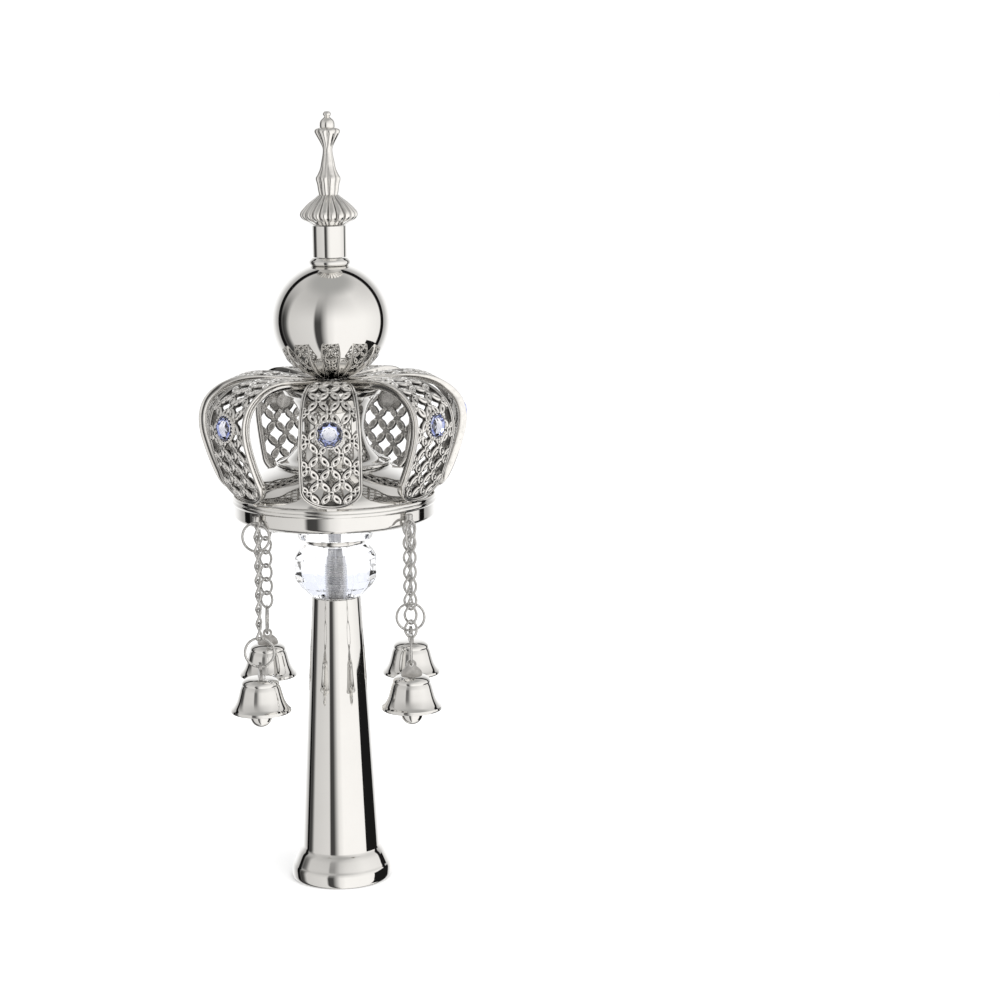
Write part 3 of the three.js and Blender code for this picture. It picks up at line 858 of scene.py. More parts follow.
def placed(points, across, along, angle, rise=0.0):
    """A small flat form turned by an angle and set down on the flat strap."""
    points = np.asarray(points, dtype=float)
    c, s = math.cos(angle), math.sin(angle)
    x = points[:, 0] * c - points[:, 1] * s + across
    y = points[:, 0] * s + points[:, 1] * c + along
    return np.stack([x, y, points[:, 2] + rise], axis=-1)


def petal_outline(length, width, around=16):
    """A leaf shape with pointed ends."""
    angles = np.linspace(0, 2 * math.pi, around, endpoint=False)
    return [(math.cos(a) * length / 2,
             math.copysign(abs(math.sin(a)) ** 1.3, math.sin(a)) * width / 2) for a in angles]


def round_outline(radius, around=12):
    """A circle as a list of points."""
    angles = np.linspace(0, 2 * math.pi, around, endpoint=False)
    return [(math.cos(a) * radius, math.sin(a) * radius) for a in angles]


class StrapMaker:
    """Lays out a strap's lattice, petals, bosses and border on the flat, then bends it."""

    # The third value of each ring, and BAR_HOLLOW, is the depth of painted shade: dark at the feet and
    # centre dimples of petals and bosses, on the petals' backs and over the recessed bars.
    PETAL_RINGS = [(1.1, -0.9, 1), (1.1, -0.25, 0.9), (1.02, -0.1, 0.5), (0.96, 0.25, 0),
                   (0.8, 0.5, 0), (0.5, 0.5, 0), (0.32, 0.3, 0), (0.26, -0.2, 1)]
    BACK_RINGS = [(1.0, 1.2, 0.7), (1.0, 1.6, 0.4), (0.86, 1.85, 0), (0.7, 1.8, 0.1),
                  (0.5, 1.4, 0.8)]
    BOSS_RINGS = [(1.15, -0.9, 1), (1.1, -0.1, 1), (0.9, 0.4, 0), (0.7, 0.5, 0),
                  (0.45, 0.4, 0.3), (0.36, -0.1, 1)]
    BAR_SECTION = [(-0.95, -0.25), (-1.25, -0.8), (-1.0, -1.5), (1.0, -1.5), (1.25, -0.8),
                   (0.95, -0.25)]
    BAR_HOLLOW = [0.6, 0.5, 0.45, 0.45, 0.5, 0.6]
    SEAT = 6.0
    SEAT_OVERLAP = 1.2
    HUB_PLATE = 5.0
    FIRST_CROSSING = 8.06

    def __init__(self, surface):
        """Takes its sizes from the scene's settings."""
        self.surface = surface
        self.form = Form()
        settings = sizes()
        self.cell_across = settings.cell_across / MM
        self.cell_along = settings.cell_along / MM
        self.petal = petal_outline(settings.petal_length / MM, settings.petal_width / MM)
        self.border = settings.border_width / MM
        self.depth = settings.border_depth / MM

    def lay(self, points, faces, hollow=0.0):
        """Adds a surface given on the flat strap, bent into place."""
        self.form.add(self.surface.bend(points), faces, hollow=hollow)

    def nodes(self):
        """Crossings of the lattice bars, as (across, along) on the flat strap."""
        rows = int(self.surface.length / self.cell_along * 2) + 2
        first_row = self.FIRST_CROSSING - self.cell_along / 2
        for row in range(-1, rows):
            for column in range(-4, 5):
                if (row + column) % 2 == 0:
                    continue
                yield (column * self.cell_across / 2, first_row + row * self.cell_along / 2)

    def is_free(self, across, along, margin):
        """Whether a flat point is inside the border, off the seat and off the hub end."""
        reach = self.SEAT + margin - self.SEAT_OVERLAP
        off_seat = math.hypot(across, along - self.surface.jewel) > reach
        off_hub = along < self.surface.length - self.HUB_PLATE
        return off_seat and off_hub and self.surface.inside(across, along, self.border + margin)

    def bars(self):
        """The lattice bars with a petal on each, and a boss on each crossing."""
        half_across, half_along = self.cell_across / 2, self.cell_along / 2
        slope = math.atan2(half_along, half_across)
        length = math.hypot(half_across, half_along)
        for across, along in self.nodes():
            if self.is_free(across, along, 0.3):
                boss = mound(round_outline(1.3), self.BOSS_RINGS)
                self.lay(placed(boss[0], across, along, 0), boss[1], boss[2])
            for angle in (slope, math.pi - slope):
                self.bar(across, along, angle, length)

    def bar(self, across, along, angle, length):
        """One bar from a crossing to the next, cut short at the border and the seat."""
        into_border = 0.9
        shares = np.linspace(0, 1, 13)
        kept = [s for s in shares
                if self.is_free(across + math.cos(angle) * length * s,
                                along + math.sin(angle) * length * s, -into_border)]
        if len(kept) < 4:
            return
        start, end = kept[0], kept[-1]
        stations = np.linspace(start, end, 4) * length
        around = len(self.BAR_SECTION)
        points = [(s, x, rise) for s in stations for x, rise in self.BAR_SECTION]
        faces = strips(len(stations), around)
        faces.append(tuple(range(around - 1, -1, -1)))
        faces.append(tuple((len(stations) - 1) * around + i for i in range(around)))
        self.lay(placed(points, across, along, angle), faces,
                 np.tile(self.BAR_HOLLOW, len(stations)))
        shortest_petal = 0.42
        share = min(1.0, (end - start) * 1.02)
        if share > shortest_petal:
            middle = (start + end) / 2 * length
            outline = [(x * share, y * min(1.0, share + 0.1)) for x, y in self.petal]
            x = across + math.cos(angle) * middle
            y = along + math.sin(angle) * middle
            points, faces, hollow = mound(outline, self.PETAL_RINGS)
            self.lay(placed(points, x, y, angle), faces, hollow)
            points, faces, hollow = mound(outline, self.BACK_RINGS)
            inner = placed(points, x, y, angle) * (1, 1, -1)
            self.lay(inner, [face[::-1] for face in faces], hollow)

    def edge_line(self):
        """The strap's outline from the hub's right side round the tip to the hub's left."""
        surface = self.surface
        sides = np.linspace(surface.length, surface.END, 60)[:-1]
        right = [(surface.half_width(s), s) for s in sides]
        tip = [(surface.HALF_WIDTH * math.cos(a), surface.END - surface.END * math.sin(a))
               for a in np.linspace(0, math.pi, 41)]
        left = [(-x, s) for x, s in reversed(right)]
        return np.array([*right, *tip, *left])

    def borders(self):
        """The plain double-line border with its deep side wall."""
        line = self.edge_line()
        tangent = np.gradient(line, axis=0)
        tangent /= np.linalg.norm(tangent, axis=1)[:, None]
        inward = np.stack([tangent[:, 1], -tangent[:, 0]], axis=-1)
        w = self.border
        section = [(0.0, -self.depth + 0.3), (0.0, 0.05), (0.1, 0.35), (0.35, 0.5),
                   (0.62, 0.4), (0.78, 0.14), (0.92, 0.12), (1.05, 0.3), (1.28, 0.38),
                   (w - 0.1, 0.22), (w, -0.1), (w, -self.depth + 0.3),
                   (w - 0.3, -self.depth), (0.3, -self.depth)]
        around = len(section)
        points = []
        for (x, s), (nx, ns) in zip(line, inward):
            points.extend((x + nx * i, s + ns * i, rise) for i, rise in section)
        faces = strips(len(line), around)
        faces.append(tuple(range(around - 1, -1, -1)))
        faces.append(tuple((len(line) - 1) * around + i for i in range(around)))
        # Painted shade depth across the border: darkest in the groove between the two lines and on the
        # deep inner side wall.
        groove = [0.1, 0, 0, 0, 0.2, 1, 1, 0.2, 0, 0.4, 0.9, 0.7, 0.3, 0.2]
        self.lay(points, faces, np.tile(groove, len(line)))

    def hub_end(self):
        """The plain plate under the ball where the straps meet."""
        surface = self.surface
        stations = np.linspace(surface.length - 6, surface.length, 4)
        points = []
        for s in stations:
            half = surface.half_width(s) - 0.4
            points.extend([(-half, s, -2.2), (half, s, -2.2), (half, s, -0.1), (-half, s, -0.1)])
        faces = strips(len(stations), 4)
        faces += [(3, 2, 1, 0), tuple(4 * (len(stations) - 1) + i for i in range(4))]
        self.lay(points, faces)

    def tip_tab(self):
        """The small tab that is soldered to the rolled rim."""
        points = []
        for s, half in ((1.6, 2.3), (0.2, 2.1), (-1.0, 1.9)):
            points.extend([(-half, s, -1.9), (half, s, -1.9), (half, s, 0.1), (-half, s, 0.1)])
        faces = strips(3, 4) + [(3, 2, 1, 0), (8, 9, 10, 11)]
        self.lay(points, faces)

    def setting(self, beads):
        """The stone's cup with a ring of beads pressed round it."""
        to_seat = self.surface.jewel_frame()
        cup = turned(softened([(0, -1.9, 0), (3.2, -1.9, 0.2), (5.8, -0.9, 0.2), (6.1, 0.5, 0.3),
                               (5.4, 0.9, 0.3), (5.05, 0.8, 0.2), (5.0, 0.2, 0.1), (0, 0.2, 0)]),
                     48, ring=False)
        heights = np.array(cup[0])[:, 2]
        # Painted shade inside the cup under the stone (depth 0.5), and only lightly (0.1) on the rest
        # of the cup.
        self.form.add(to_seat(cup[0]), cup[1], hollow=np.where(heights < 0.15, 0.5, 0.1))
        bead_radius, bead_circle, bead_rise = 0.62, 5.62, 1.0
        bead = turned(arc(0, 0, bead_radius, -90, 90, 6), 8, ring=False)
        for i in range(beads):
            a = 2 * math.pi * i / beads
            centre = np.array([bead_circle * math.cos(a), bead_circle * math.sin(a), bead_rise])
            self.form.add(to_seat(np.asarray(bead[0]) + centre), bead[1])

    def make(self, beads):
        """The whole front strap."""
        self.bars()
        self.borders()
        self.hub_end()
        self.tip_tab()
        self.setting(beads)
        return self.form


def copies_round(piece, names, count):
    """Copies a front piece to every place round the axis; the first stays as it is."""
    mesh = piece.data
    coords = np.empty(len(mesh.vertices) * 3)
    mesh.vertices.foreach_get("co", coords)
    coords = coords.reshape(-1, 3)
    made = [piece]
    for i in range(1, count):
        copy = mesh.copy()
        copy.name = names.format(i + 1)
        turned_coords = turn_about_axis(2 * math.pi * i / count)(coords)
        copy.vertices.foreach_set("co", turned_coords.ravel())
        copy.update()
        obj = bpy.data.objects.new(names.format(i + 1), copy)
        bpy.context.scene.collection.objects.link(obj)
        made.append(obj)
    return made


def set_round(first, name, count, slot, node):
    """Copies a front piece round the axis, each copy in place of its numbered node."""
    for i, piece in enumerate(copies_round(first, name + "_{}", count)):
        settle(piece, slot, f"{node}_{i + 1}")


class FINIAL_OT_straps(bpy.types.Operator):
    """Casts the pierced straps with their settings"""

    bl_idname = "finial.straps"
    bl_label = "Pierced straps"

    def execute(self, context):
        """Builds the front strap and copies it round."""
        form = StrapMaker(StrapSurface()).make(sizes().setting_beads)
        first = form.piece("pierced_strap_1", [casting()], crease=60)
        set_round(first, "pierced_strap", STRAPS, "cast_nickel", "crown_strap")
        return {"FINISHED"}


def cut_stone(facets=8):
    """A round stone about +Z: a table and crown facets (finish 0) over a foiled cone (finish 1)."""
    table, girdle, under, culet = (2.9, 3.05), (4.85, 1.6), (4.85, 1.2), (0.9, -0.6)
    tip_height = -0.9
    angles = np.linspace(0, 2 * math.pi, facets, endpoint=False)
    half = math.pi / facets
    points = []
    for (radius, height), shift in zip((table, girdle, under, culet), (0.0, half, half, 0.0)):
        points.extend((radius * math.cos(a + shift), radius * math.sin(a + shift), height)
                      for a in angles)
    points.append((0, 0, tip_height))
    faces = [tuple(range(facets))]
    marks = [0]
    a, b, c, tip = (facets * ring for ring in (1, 2, 3, 4))
    for i in range(facets):
        j = (i + 1) % facets
        faces += [(i, a + i, j), (j, a + i, a + j), (a + i, b + i, b + j, a + j)]
        marks += [0, 0, 0]
        faces += [(b + i, c + j, b + j), (b + i, c + i, c + j), (c + i, tip, c + j)]
        marks += [1, 1, 1]
    form = Form().add(points, faces)
    form.finishes = marks
    return form


class FINIAL_OT_stones(bpy.types.Operator):
    """Sets the cut stones"""

    bl_idname = "finial.stones"
    bl_label = "Stones"

    def execute(self, context):
        """Builds the front stone and copies it round."""
        form = cut_stone().moved(StrapSurface().jewel_frame())
        finish = [stone_finish(finishes().stone), foil_finish(finishes().foil)]
        first = form.piece("cut_stone_1", finish)
        first.data.polygons.foreach_set("use_smooth", [False] * len(first.data.polygons))
        set_round(first, "cut_stone", STRAPS, "pale_stone", "jewel")
        return {"FINISHED"}


# ---------------------------------------------------------------------------------------
# Ball, collar, neck and knop
# ---------------------------------------------------------------------------------------

class FINIAL_OT_ball(bpy.types.Operator):
    """Spins the ball, its collar and the neck"""

    bl_idname = "finial.ball"
    bl_label = "Ball, collar and neck"

    def execute(self, context):
        """Builds the three turned pieces above the crown."""
        low, high = span("ball")
        radius = (high[1] - low[1]) / 2
        centre = (low[2] + high[2]) / 2
        end = math.degrees(math.acos(BORE / radius))
        inner = radius - 1
        inner_end = math.degrees(math.acos(BORE / inner))
        shell = arc(0, centre, radius, -end, end, 72) + arc(0, centre, inner, inner_end, -inner_end, 24)
        ball = Form().add(*turned(shell, 128)).piece("ball_shell", [polished()], 60)
        settle(ball, "polished_nickel", "ball")

        low, high = span("ball_collar")
        bottom, top = low[2], high[2]
        collar = softened([
            (BORE, bottom + 1.0, 0.1), (6.8, bottom + 0.4, 0.2), (7.8, bottom, 0.2),
            (8.7, bottom + 0.6, 0.5), (8.7, bottom + 1.9, 0.7), (7.9, top - 0.5, 0.4),
            (7.4, top, 0.1), (BORE, top, 0.1)])
        ring = Form().add(*turned(collar, 96)).piece("collar_ring", [polished()], 50)
        settle(ring, "polished_nickel", "ball_collar")

        low, high = span("neck_tube")
        bottom, top = low[2], high[2]
        tube = softened([(0, top - 5.7, 0), (BORE, top - 5.7, 0.1), (BORE, bottom, 0.1),
                         (7.2, bottom, 0.15), (7.2, top, 0.15), (0, top, 0)])
        neck = Form().add(*turned(tube, 96, ring=False)).piece("neck_sleeve", [polished()], 40)
        settle(neck, "polished_nickel", "neck_tube")
        return {"FINISHED"}


def lobes(count, depth_at, sharp=0.55):
    """A swell for turned(): rounded lobes with narrow valleys, as deep as depth_at says."""
    def swell(angles, height, radius):
        """The radii round one row of the outline."""
        wave = np.abs(np.sin(angles * count / 2)) ** sharp
        return radius * (1 - depth_at(height) * (1 - wave))
    return swell


def valleys(points, count, depth):
    """How much painted shade each point of a lobed form gets: most along the narrow valleys."""
    x, y, _ = np.asarray(points).T
    wave = np.abs(np.sin(np.arctan2(y, x) * count / 2))
    return depth * np.clip(1 - wave / 0.4, 0, 1)


def fading(points):
    """A depth that follows (height, depth) points."""
    heights, depths = zip(*points)
    return lambda height: float(np.interp(height, heights, depths))


class FINIAL_OT_knop(bpy.types.Operator):
    """Casts the knop at the top"""

    bl_idname = "finial.knop"
    bl_label = "Top knop"

    def execute(self, context):
        """Builds the gadrooned disc, the vase, the cup and the cap as one casting."""
        low = span("top_knop")[0][2]
        disc = flowing([(7.2, low), (8.4, low + 0.8), (11.0, low + 2.2), (12.1, low + 3.6),
                        (12.1, low + 5.0), (10.6, low + 7.0), (8.2, low + 9.3),
                        (5.6, low + 11.3), (4.3, low + 12.4)], 5)
        disc_depth = fading([(low, 0.03), (low + 2, 0.08), (low + 5, 0.1), (low + 9, 0.1),
                             (low + 12.2, 0.03)])
        vase = flowing([(4.0, low + 11.8), (4.5, low + 14.0), (4.9, low + 16.6),
                        (5.5, low + 19.3), (4.6, low + 20.9), (3.5, low + 23.2),
                        (2.8, low + 26.5), (2.2, low + 29.5), (2.15, low + 31.5),
                        (3.2, low + 33.9), (4.9, low + 36.8), (5.65, low + 38.5),
                        (5.2, low + 39.5), (3.4, low + 40.3)], 5)
        vase_depth = fading([(low + 12, 0.1), (low + 19, 0.16), (low + 21, 0.08),
                             (low + 25, 0.03), (low + 31, 0.02), (low + 33, 0.08),
                             (low + 38, 0.13), (low + 40, 0.04)])
        cap = softened([(0, low + 39.6, 0), (3.15, low + 39.8, 0.3), (3.3, low + 41.2, 0.8),
                        (3.0, low + 43.0, 1.0), (1.6, low + 44.2, 0.5), (1.1, low + 44.6, 0.2),
                        (1.75, low + 45.2, 0.5), (1.75, low + 46.0, 0.6), (1.0, low + 46.8, 0.4),
                        (0, low + 46.8, 0)])
        form = Form()
        disc = turned([(0, low), *disc, (0, low + 12.2)], 240, ring=False,
                      swell=lobes(20, disc_depth))
        # Painted shade along the gadroon valleys of the disc and the vase.
        form.add(*disc, hollow=valleys(disc[0], 20, 0.75))
        vase = turned([(0, low + 11.6), *vase, (0, low + 40.2)], 128, ring=False,
                      swell=lobes(8, vase_depth, 0.7))
        form.add(*vase, hollow=valleys(vase[0], 8, 0.45))
        form.add(*turned(cap, 48, ring=False))
        settle(form.piece("knop_casting", [casting()], 60), "cast_nickel", "top_knop")
        return {"FINISHED"}


# ---------------------------------------------------------------------------------------
# Chains and bells
# ---------------------------------------------------------------------------------------

CHAIN_RADIUS = 44.6
CHAIN_TOP = 161.9
CHAIN_BOTTOM = 113.1
LINKS = 8
FIRST_CHAIN = math.radians(45)
BELL_MOUTH = 82.0
BELL_CROWN = 97.0
BELL_EYE = 101.1
CLAPPER_CENTRE = 79.9
CLAPPER_RADIUS = 4.6
STEM_RADIUS = 0.7
STEM_TOP = 94.3


def hang(points):
    """Moves a piece made on the axis out to where the first chain hangs."""
    moved = np.asarray(points) + np.array([0, -CHAIN_RADIUS, 0])
    return turn_about_axis(FIRST_CHAIN)(moved)


def link_path(width, height, turn, twist, steps=28):
    """A link's middle line: a long loop whose ends are turned against each other."""
    t = np.linspace(0, 2 * math.pi, steps, endpoint=False)
    x = np.cos(t) * width / 2
    z = np.sin(t) * height / 2
    angle = turn + twist * z / height
    return np.stack([x * np.cos(angle), x * np.sin(angle), z], axis=-1)


def ring_path(radius, turn, lean=0.0, steps=48):
    """A round ring hanging upright, its top at zero."""
    t = np.linspace(0, 2 * math.pi, steps, endpoint=False)
    x, z = radius * np.cos(t), radius * np.sin(t) - radius
    points = np.stack([x * math.cos(turn), x * math.sin(turn), z], axis=-1)
    tilt = np.array(Matrix.Rotation(lean, 3, "X"))
    return points @ tilt.T


class FINIAL_OT_chains(bpy.types.Operator):
    """Links the chains with their lugs and rings"""

    bl_idname = "finial.chains"
    bl_label = "Chains"

    def execute(self, context):
        """Builds one chain and copies it round."""
        thick = sizes().wire / MM
        pitch = (CHAIN_TOP - CHAIN_BOTTOM) / LINKS
        form = Form()
        for i in range(LINKS):
            middle = CHAIN_TOP - (i + 0.5) * pitch
            path = link_path(4.9, pitch + thick * 1.3, math.radians(-45), math.radians(85))
            form.add(*wire(path + np.array([0, 0, middle]), thick / 2))
        upper = ring_path(5.9, math.radians(28), math.radians(-3))
        form.add(*wire(upper + np.array([0, -0.2, CHAIN_TOP + 0.2]), thick / 2))
        lower = ring_path(6.1, math.radians(45))
        form.add(*wire(lower + np.array([0, 0, CHAIN_BOTTOM + 0.3]), thick / 2 * 1.05))
        lug = ring_path(1.5, 0.0, steps=24) + np.array([0, 0.2, 163.2])
        form.add(*wire(lug, 0.55))
        plate = softened([(0, 162.6, 0), (1.5, 162.6, 0.3), (1.5, 165.0, 0.3), (0, 165.0, 0)])
        form.add(*turned(plate, 16, ring=False))
        form.moved(hang)
        # Painted shade: the chain's nickel is darkened to 0.72 of the polished plate, standing in for
        # the dark reflections along the thin wires.
        shaded_wire_finish = plate_finish("wire_nickel_painted_darker", [0.72 * c for c in finishes().nickel], 0.1, 0.1,
                              0.5, 700.0)
        first = form.piece("linked_chain_1", [shaded_wire_finish], 50)
        set_round(first, "linked_chain", CHAINS, "chain_nickel", "chain")
        return {"FINISHED"}


class FINIAL_OT_bells(bpy.types.Operator):
    """Spins the bells and hangs their clappers"""

    bl_idname = "finial.bells"
    bl_label = "Bells and clappers"

    def execute(self, context):
        """Builds one bell and one clapper and copies them round."""
        mouth, crown = BELL_MOUTH, BELL_CROWN
        body = [
            (0, crown), *flowing([(2.0, crown), (5.5, crown - 0.6), (7.4, crown - 1.8),
                                  (7.9, crown - 2.9), (7.8, crown - 3.4)], 5),
            *flowing([(8.4, crown - 4.6), (9.2, crown - 7.6), (10.1, crown - 10.4),
                      (11.4, crown - 12.6), (12.5, crown - 13.6)], 5),
            *arc(12.2, mouth + 0.5, 0.5, 40, -120, 6),
            *flowing([(10.9, mouth + 1.4), (9.4, mouth + 4.0), (8.4, mouth + 7.4),
                      (7.2, mouth + 11.2), (4.6, crown - 1.7)], 5),
            (0, crown - 1.5),
        ]
        form = Form().add(*turned(body[::-1], 96, ring=False))
        half = [(4.4, 96.2), (4.5, 97.3), (4.1, 98.4), (3.2, 99.4), (2.2, 100.2)]
        eye = [(2.1 * math.cos(a), BELL_EYE + 2.1 * math.sin(a))
               for a in np.linspace(math.radians(-20), math.radians(200), 17)]
        outline = [*half, *eye, *[(-x, z) for x, z in reversed(half)]]
        hole = [(1.05 * math.cos(a), BELL_EYE + 1.05 * math.sin(a))
                for a in np.linspace(0, 2 * math.pi, 24, endpoint=False)]
        # The tab takes hollow depth 0.6 all over, so the casting finish's painted shade darkens the
        # whole tab.
        form.add(*flat_tab(outline, hole, 1.1, math.radians(-35)), finish=1, hollow=0.6)
        form.moved(hang)
        first = form.piece("spun_bell_1", [polished(), casting()], 40)
        set_round(first, "spun_bell", CHAINS, "polished_nickel", "bell")
        outline = [*arc(0, CLAPPER_CENTRE, CLAPPER_RADIUS, -90, 78, 24),
                   (STEM_RADIUS, CLAPPER_CENTRE + CLAPPER_RADIUS), (STEM_RADIUS, STEM_TOP),
                   (0, STEM_TOP)]
        clapper = Form().add(*turned(outline, 48, ring=False)).moved(hang)
        first = clapper.piece("round_clapper_1", [polished()], 40)
        set_round(first, "round_clapper", CHAINS, "polished_nickel", "clapper")
        return {"FINISHED"}


def flat_tab(outline, hole, thickness, turn):
    """A flat plate with a hole, standing upright and turned about the bell's axis."""
    mesh = bpy.data.curves.new("tab_outline", "CURVE")
    mesh.dimensions = "2D"
    mesh.fill_mode = "BOTH"
    mesh.extrude = thickness / 2
    for line in (outline, hole):
        spline = mesh.splines.new("POLY")
        spline.points.add(len(line) - 1)
        for point, (x, z) in zip(spline.points, line):
            point.co = (x, z, 0, 1)
        spline.use_cyclic_u = True
    holder = bpy.data.objects.new("tab_outline", mesh)
    made = holder.to_mesh()
    flat = np.array([v.co[:] for v in made.vertices])
    faces = [tuple(p.vertices) for p in made.polygons]
    holder.to_mesh_clear()
    bpy.data.objects.remove(holder)
    bpy.data.curves.remove(mesh)
    upright = np.stack([flat[:, 0], -flat[:, 2], flat[:, 1]], axis=-1)
    return turn_about_axis(turn)(upright), faces


# ---------------------------------------------------------------------------------------
# Stage
# ---------------------------------------------------------------------------------------

# The direction from the ball towards the open front of the surround.
FRONT = (0.028, -0.9938, 0.107)


def studio_world(settings):
    """Pale panels with dark gaps between them for the metal, a clear map for what is seen
    through the crystal, and plain white for everything else."""
    world = bpy.data.worlds.new("studio_surround")
    world.use_nodes = True
    nodes, links = world.node_tree.nodes, world.node_tree.links
    nodes.clear()
    out = nodes.new("ShaderNodeOutputWorld")
    back = nodes.new("ShaderNodeBackground")
    direction = nodes.new("ShaderNodeTexCoord").outputs["Generated"]
    split = nodes.new("ShaderNodeSeparateXYZ")
    links.new(direction, split.inputs[0])
    forward = math_node(nodes, links, "MULTIPLY", split.outputs["Y"], -1.0)
    angle = math_node(nodes, links, "ARCTAN2", split.outputs["X"], forward)
    share = math_node(nodes, links, "MULTIPLY_ADD", angle, 1 / (2 * math.pi))
    share.node.inputs[2].default_value = 0.5
    height = split.outputs["Z"]

    def ramp(stops):
        """A grey ramp over degrees round the finial, zero being the front."""
        node = nodes.new("ShaderNodeValToRGB")
        elements = node.color_ramp.elements
        while len(elements) > 1:
            elements.remove(elements[-1])
        for i, (degrees, grey) in enumerate(stops):
            place = (degrees + 180) / 360
            element = elements[0] if i == 0 else elements.new(place)
            element.position = place
            element.color = (grey, grey * 0.985, grey * 0.965, 1)
        links.new(share, node.inputs[0])
        return node.outputs["Color"]

    around = ramp([(-180, 0.85), (-140, 0.8), (-127, 0.3), (-106, 0.03), (-98, 0.1),
                   (-88, 0.62), (-34, 0.7), (-30, 0.05), (-19, 0.06), (-4, 0.8), (10, 0.98),
                   (70, 0.97), (110, 0.85), (180, 0.9)])
    above = ramp([(-180, 0.6), (-40, 0.48), (-10, 0.42), (20, 0.6), (60, 0.75), (120, 0.6),
                  (180, 0.6)])

    def blend(factor, first, second):
        """Two colours mixed by a factor."""
        node = nodes.new("ShaderNodeMix")
        node.data_type = "RGBA"
        links.new(factor, node.inputs["Factor"])
        for socket, value in ((node.inputs["A"], first), (node.inputs["B"], second)):
            if isinstance(value, tuple):
                socket.default_value = value
            else:
                links.new(value, socket)
        return node.outputs["Result"]

    def step(value, start, end):
        """How far a value has gone from start to end."""
        node = nodes.new("ShaderNodeMapRange")
        node.interpolation_type = "SMOOTHSTEP"
        node.inputs["From Min"].default_value = start
        node.inputs["From Max"].default_value = end
        links.new(value, node.inputs["Value"])
        return node.outputs["Result"]

    panels = blend(step(height, 0.0, 0.85), around, above)
    panels = blend(step(height, 0.75, 0.97), panels, (0.38, 0.378, 0.37, 1))
    turned_to = nodes.new("ShaderNodeVectorMath")
    turned_to.operation = "DOT_PRODUCT"
    links.new(direction, turned_to.inputs[0])
    turned_to.inputs[1].default_value = FRONT
    facing = turned_to.outputs["Value"]
    beyond = blend(step(facing, -0.6, -0.95), (0.45, 0.445, 0.44, 1), (0.95, 0.95, 0.95, 1))
    panels = blend(step(facing, -0.56, -0.6), panels, beyond)
    gap = math_node(nodes, links, "MULTIPLY", step(facing, -0.37, -0.43),
                    step(facing, -0.6, -0.56))
    surround = blend(gap, panels, (0.006, 0.006, 0.006, 1))
    clear = blend(step(facing, 0.2, 0.9), (0.87, 0.89, 0.96, 1), (0.6, 0.62, 0.68, 1))

    rays = nodes.new("ShaderNodeLightPath")
    plain = math_node(nodes, links, "MAXIMUM", rays.outputs["Is Camera Ray"],
                      rays.outputs["Is Diffuse Ray"])
    shown = nodes.new("ShaderNodeMix")
    shown.data_type = "RGBA"
    links.new(plain, shown.inputs["Factor"])
    through = blend(rays.outputs["Is Transmission Ray"], surround, clear)
    links.new(through, shown.inputs["A"])
    shown.inputs["B"].default_value = WHITE
    links.new(shown.outputs["Result"], back.inputs["Color"])
    back.inputs["Strength"].default_value = settings.surround
    links.new(back.outputs[0], out.inputs[0])
    bpy.context.scene.world = world


def reflector(name, start, end, low, high, grey):
    """A curved card round the finial, in millimetres and degrees, seen only in the metal."""
    distance = 350 * MM
    columns = 13
    angles = np.radians(np.linspace(start, end, columns))
    points = [(distance * math.sin(a), -distance * math.cos(a), z * MM)
              for z in (low, high) for a in angles]
    mesh = bpy.data.meshes.new(name)
    mesh.from_pydata(points, [], strips(2, columns, closed=False))
    card = bpy.data.objects.new(name, mesh)
    bpy.context.scene.collection.objects.link(card)
    material, shader, nodes, links = new_finish(name)
    darker = (0.9 * grey, 0.9 * grey, 0.88 * grey, 1)
    paler = (1.1 * grey, 1.1 * grey, 1.08 * grey, 1)
    color, _ = uneven_tint(nodes, links, 4.0, 3.0, darker, paler)
    links.new(color, shader.inputs["Emission Color"])
    shader.inputs["Emission Strength"].default_value = 1.0
    shader.inputs["Base Color"].default_value = (0, 0, 0, 1)
    shader.inputs["Specular IOR Level"].default_value = 0.0
    mesh.materials.append(material)
    card.visible_camera = False
    card.visible_diffuse = False
    card.visible_shadow = False
    card.visible_transmission = False


def studio_floor(settings):
    """A wide pale floor that the metal doesn't mirror."""
    size = 30.0
    mesh = bpy.data.meshes.new("studio_floor")
    half = size / 2
    mesh.from_pydata([(-half, -half, 0), (half, -half, 0), (half, half, 0), (-half, half, 0)],
                     [], [(0, 1, 2, 3)])
    floor = bpy.data.objects.new("studio_floor", mesh)
    bpy.context.scene.collection.objects.link(floor)
    material, shader, nodes, links = new_finish("pale_floor")
    tint = settings.floor
    color, _ = uneven_tint(nodes, links, 3.0, 3.0, rgba(tint), lighter(tint, 1.01))
    links.new(color, shader.inputs["Base Color"])
    shader.inputs["Roughness"].default_value = 0.9
    shader.inputs["Specular IOR Level"].default_value = 0.0
    mesh.materials.append(material)
    floor.visible_glossy = False


def studio_camera():
    """A long lens a little above the crown, looking slightly down."""
    turn = math.radians(1.6)
    yaw = math.atan(168 / 2623) - turn
    pitch = math.radians(10.066)
    roll = math.radians(-0.5)
    forward = Vector((math.sin(yaw) * math.cos(pitch), math.cos(yaw) * math.cos(pitch),
                      -math.sin(pitch)))
    right = Vector((math.cos(yaw), -math.sin(yaw), 0))
    up = right.cross(forward)
    x_axis = right * math.cos(roll) + up * math.sin(roll)
    y_axis = up * math.cos(roll) - right * math.sin(roll)
    data = bpy.data.cameras.new("studio_camera")
    data.lens = 94.43
    data.sensor_width = 36.0
    data.clip_end = 100.0
    camera = bpy.data.objects.new("studio_camera", data)
    matrix = Matrix((x_axis, y_axis, -forward)).transposed().to_4x4()
    matrix.translation = Vector((1.1 * math.sin(turn), -1.1 * math.cos(turn), 0.36))
    camera.matrix_world = matrix
    bpy.context.scene.collection.objects.link(camera)
    bpy.context.scene.camera = camera


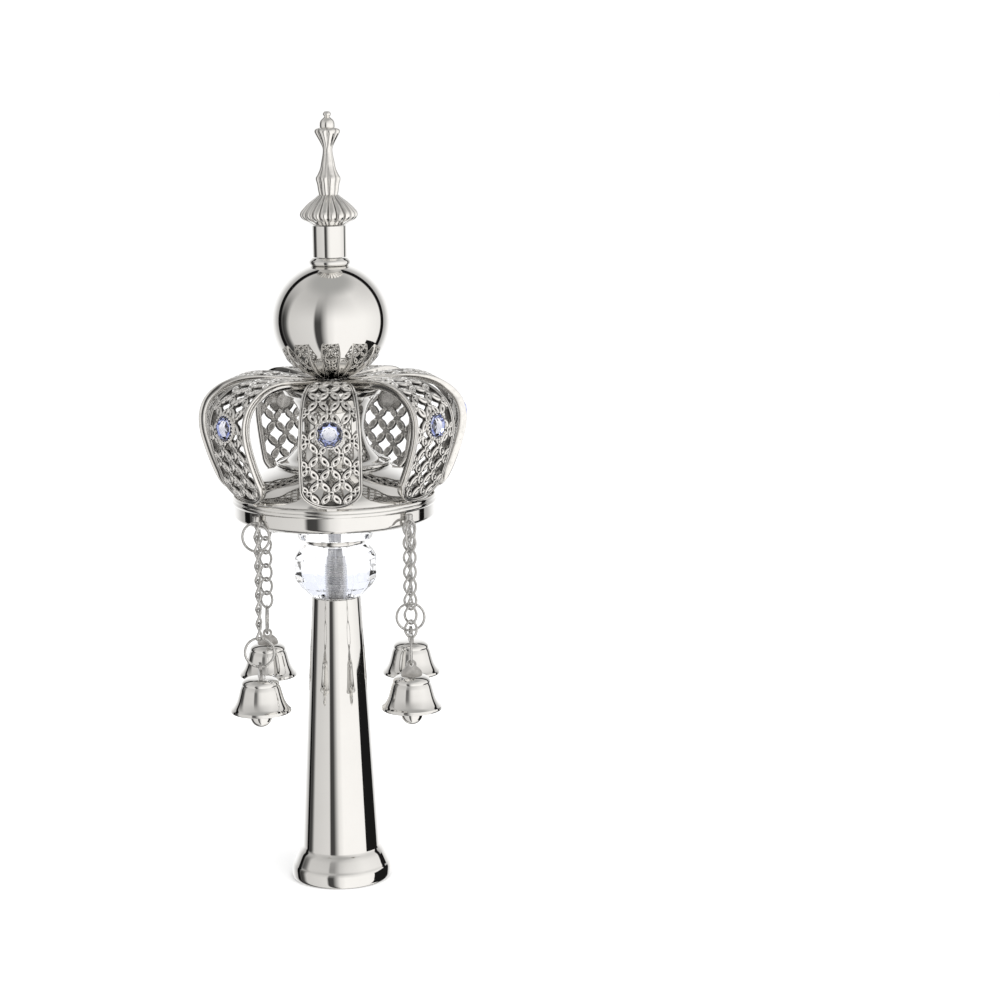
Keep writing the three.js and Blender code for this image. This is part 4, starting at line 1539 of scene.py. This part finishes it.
def soft_light(name, place, aim, size, power):
    """A square soft light that shows in nothing shiny."""
    data = bpy.data.lights.new(name, "AREA")
    data.shape = "SQUARE"
    data.size = size
    data.energy = power
    light = bpy.data.objects.new(name, data)
    light.location = place
    light.rotation_euler = (Vector(aim) - Vector(place)).to_track_quat("-Z", "Y").to_euler()
    light.visible_glossy = False
    bpy.context.scene.collection.objects.link(light)


class FINIAL_OT_stage(bpy.types.Operator):
    """Sets the floor, surround, light and camera"""

    bl_idname = "finial.stage"
    bl_label = "Studio stage"

    def execute(self, context):
        """Builds the stage."""
        settings = context.scene.finial_studio
        studio_world(settings)
        studio_floor(settings)
        studio_camera()
        reflector("low_dark_card", 80, 134, -300, 58, 0.012)
        soft_light("key_light", (0.25, -0.5, 1.3), (0, 0, 0.1), 0.9, settings.key_power)
        context.scene.view_settings.view_transform = "Standard"
        return {"FINISHED"}


class FINIAL_PT_panel(bpy.types.Panel):
    """Lists the finial's pieces and settings"""

    bl_idname = "FINIAL_PT_panel"
    bl_label = "Finial"
    bl_space_type = "VIEW_3D"
    bl_region_type = "UI"
    bl_category = "Finial"

    def draw(self, context):
        """Draws a button for each piece and the settings below."""
        layout = self.layout
        for operator in OPERATORS:
            layout.operator(operator.bl_idname)
        for group in ("finial_sizes", "finial_finish", "finial_studio"):
            settings = getattr(context.scene, group)
            box = layout.box()
            for key in settings.__annotations__:
                box.prop(settings, key)


OPERATORS = [
    FINIAL_OT_stage,
    FINIAL_OT_sleeve,
    FINIAL_OT_rod,
    FINIAL_OT_crystal,
    FINIAL_OT_base,
    FINIAL_OT_straps,
    FINIAL_OT_stones,
    FINIAL_OT_ball,
    FINIAL_OT_knop,
    FINIAL_OT_chains,
    FINIAL_OT_bells,
]
CLASSES = [FinialSizes, FinialFinish, StudioSettings, *OPERATORS, FINIAL_PT_panel]


def register():
    """Makes the classes and the scene's settings known."""
    for cls in CLASSES:
        bpy.utils.register_class(cls)
    bpy.types.Scene.finial_sizes = PointerProperty(type=FinialSizes)
    bpy.types.Scene.finial_finish = PointerProperty(type=FinialFinish)
    bpy.types.Scene.finial_studio = PointerProperty(type=StudioSettings)


def unregister():
    """Takes the settings and classes away again."""
    del bpy.types.Scene.finial_studio
    del bpy.types.Scene.finial_finish
    del bpy.types.Scene.finial_sizes
    for cls in reversed(CLASSES):
        bpy.utils.unregister_class(cls)


def main():
    """Builds every piece in order."""
    register()
    for operator in OPERATORS:
        category, name = operator.bl_idname.split(".")
        getattr(getattr(bpy.ops, category), name)()


if __name__ == "__main__":
    main()
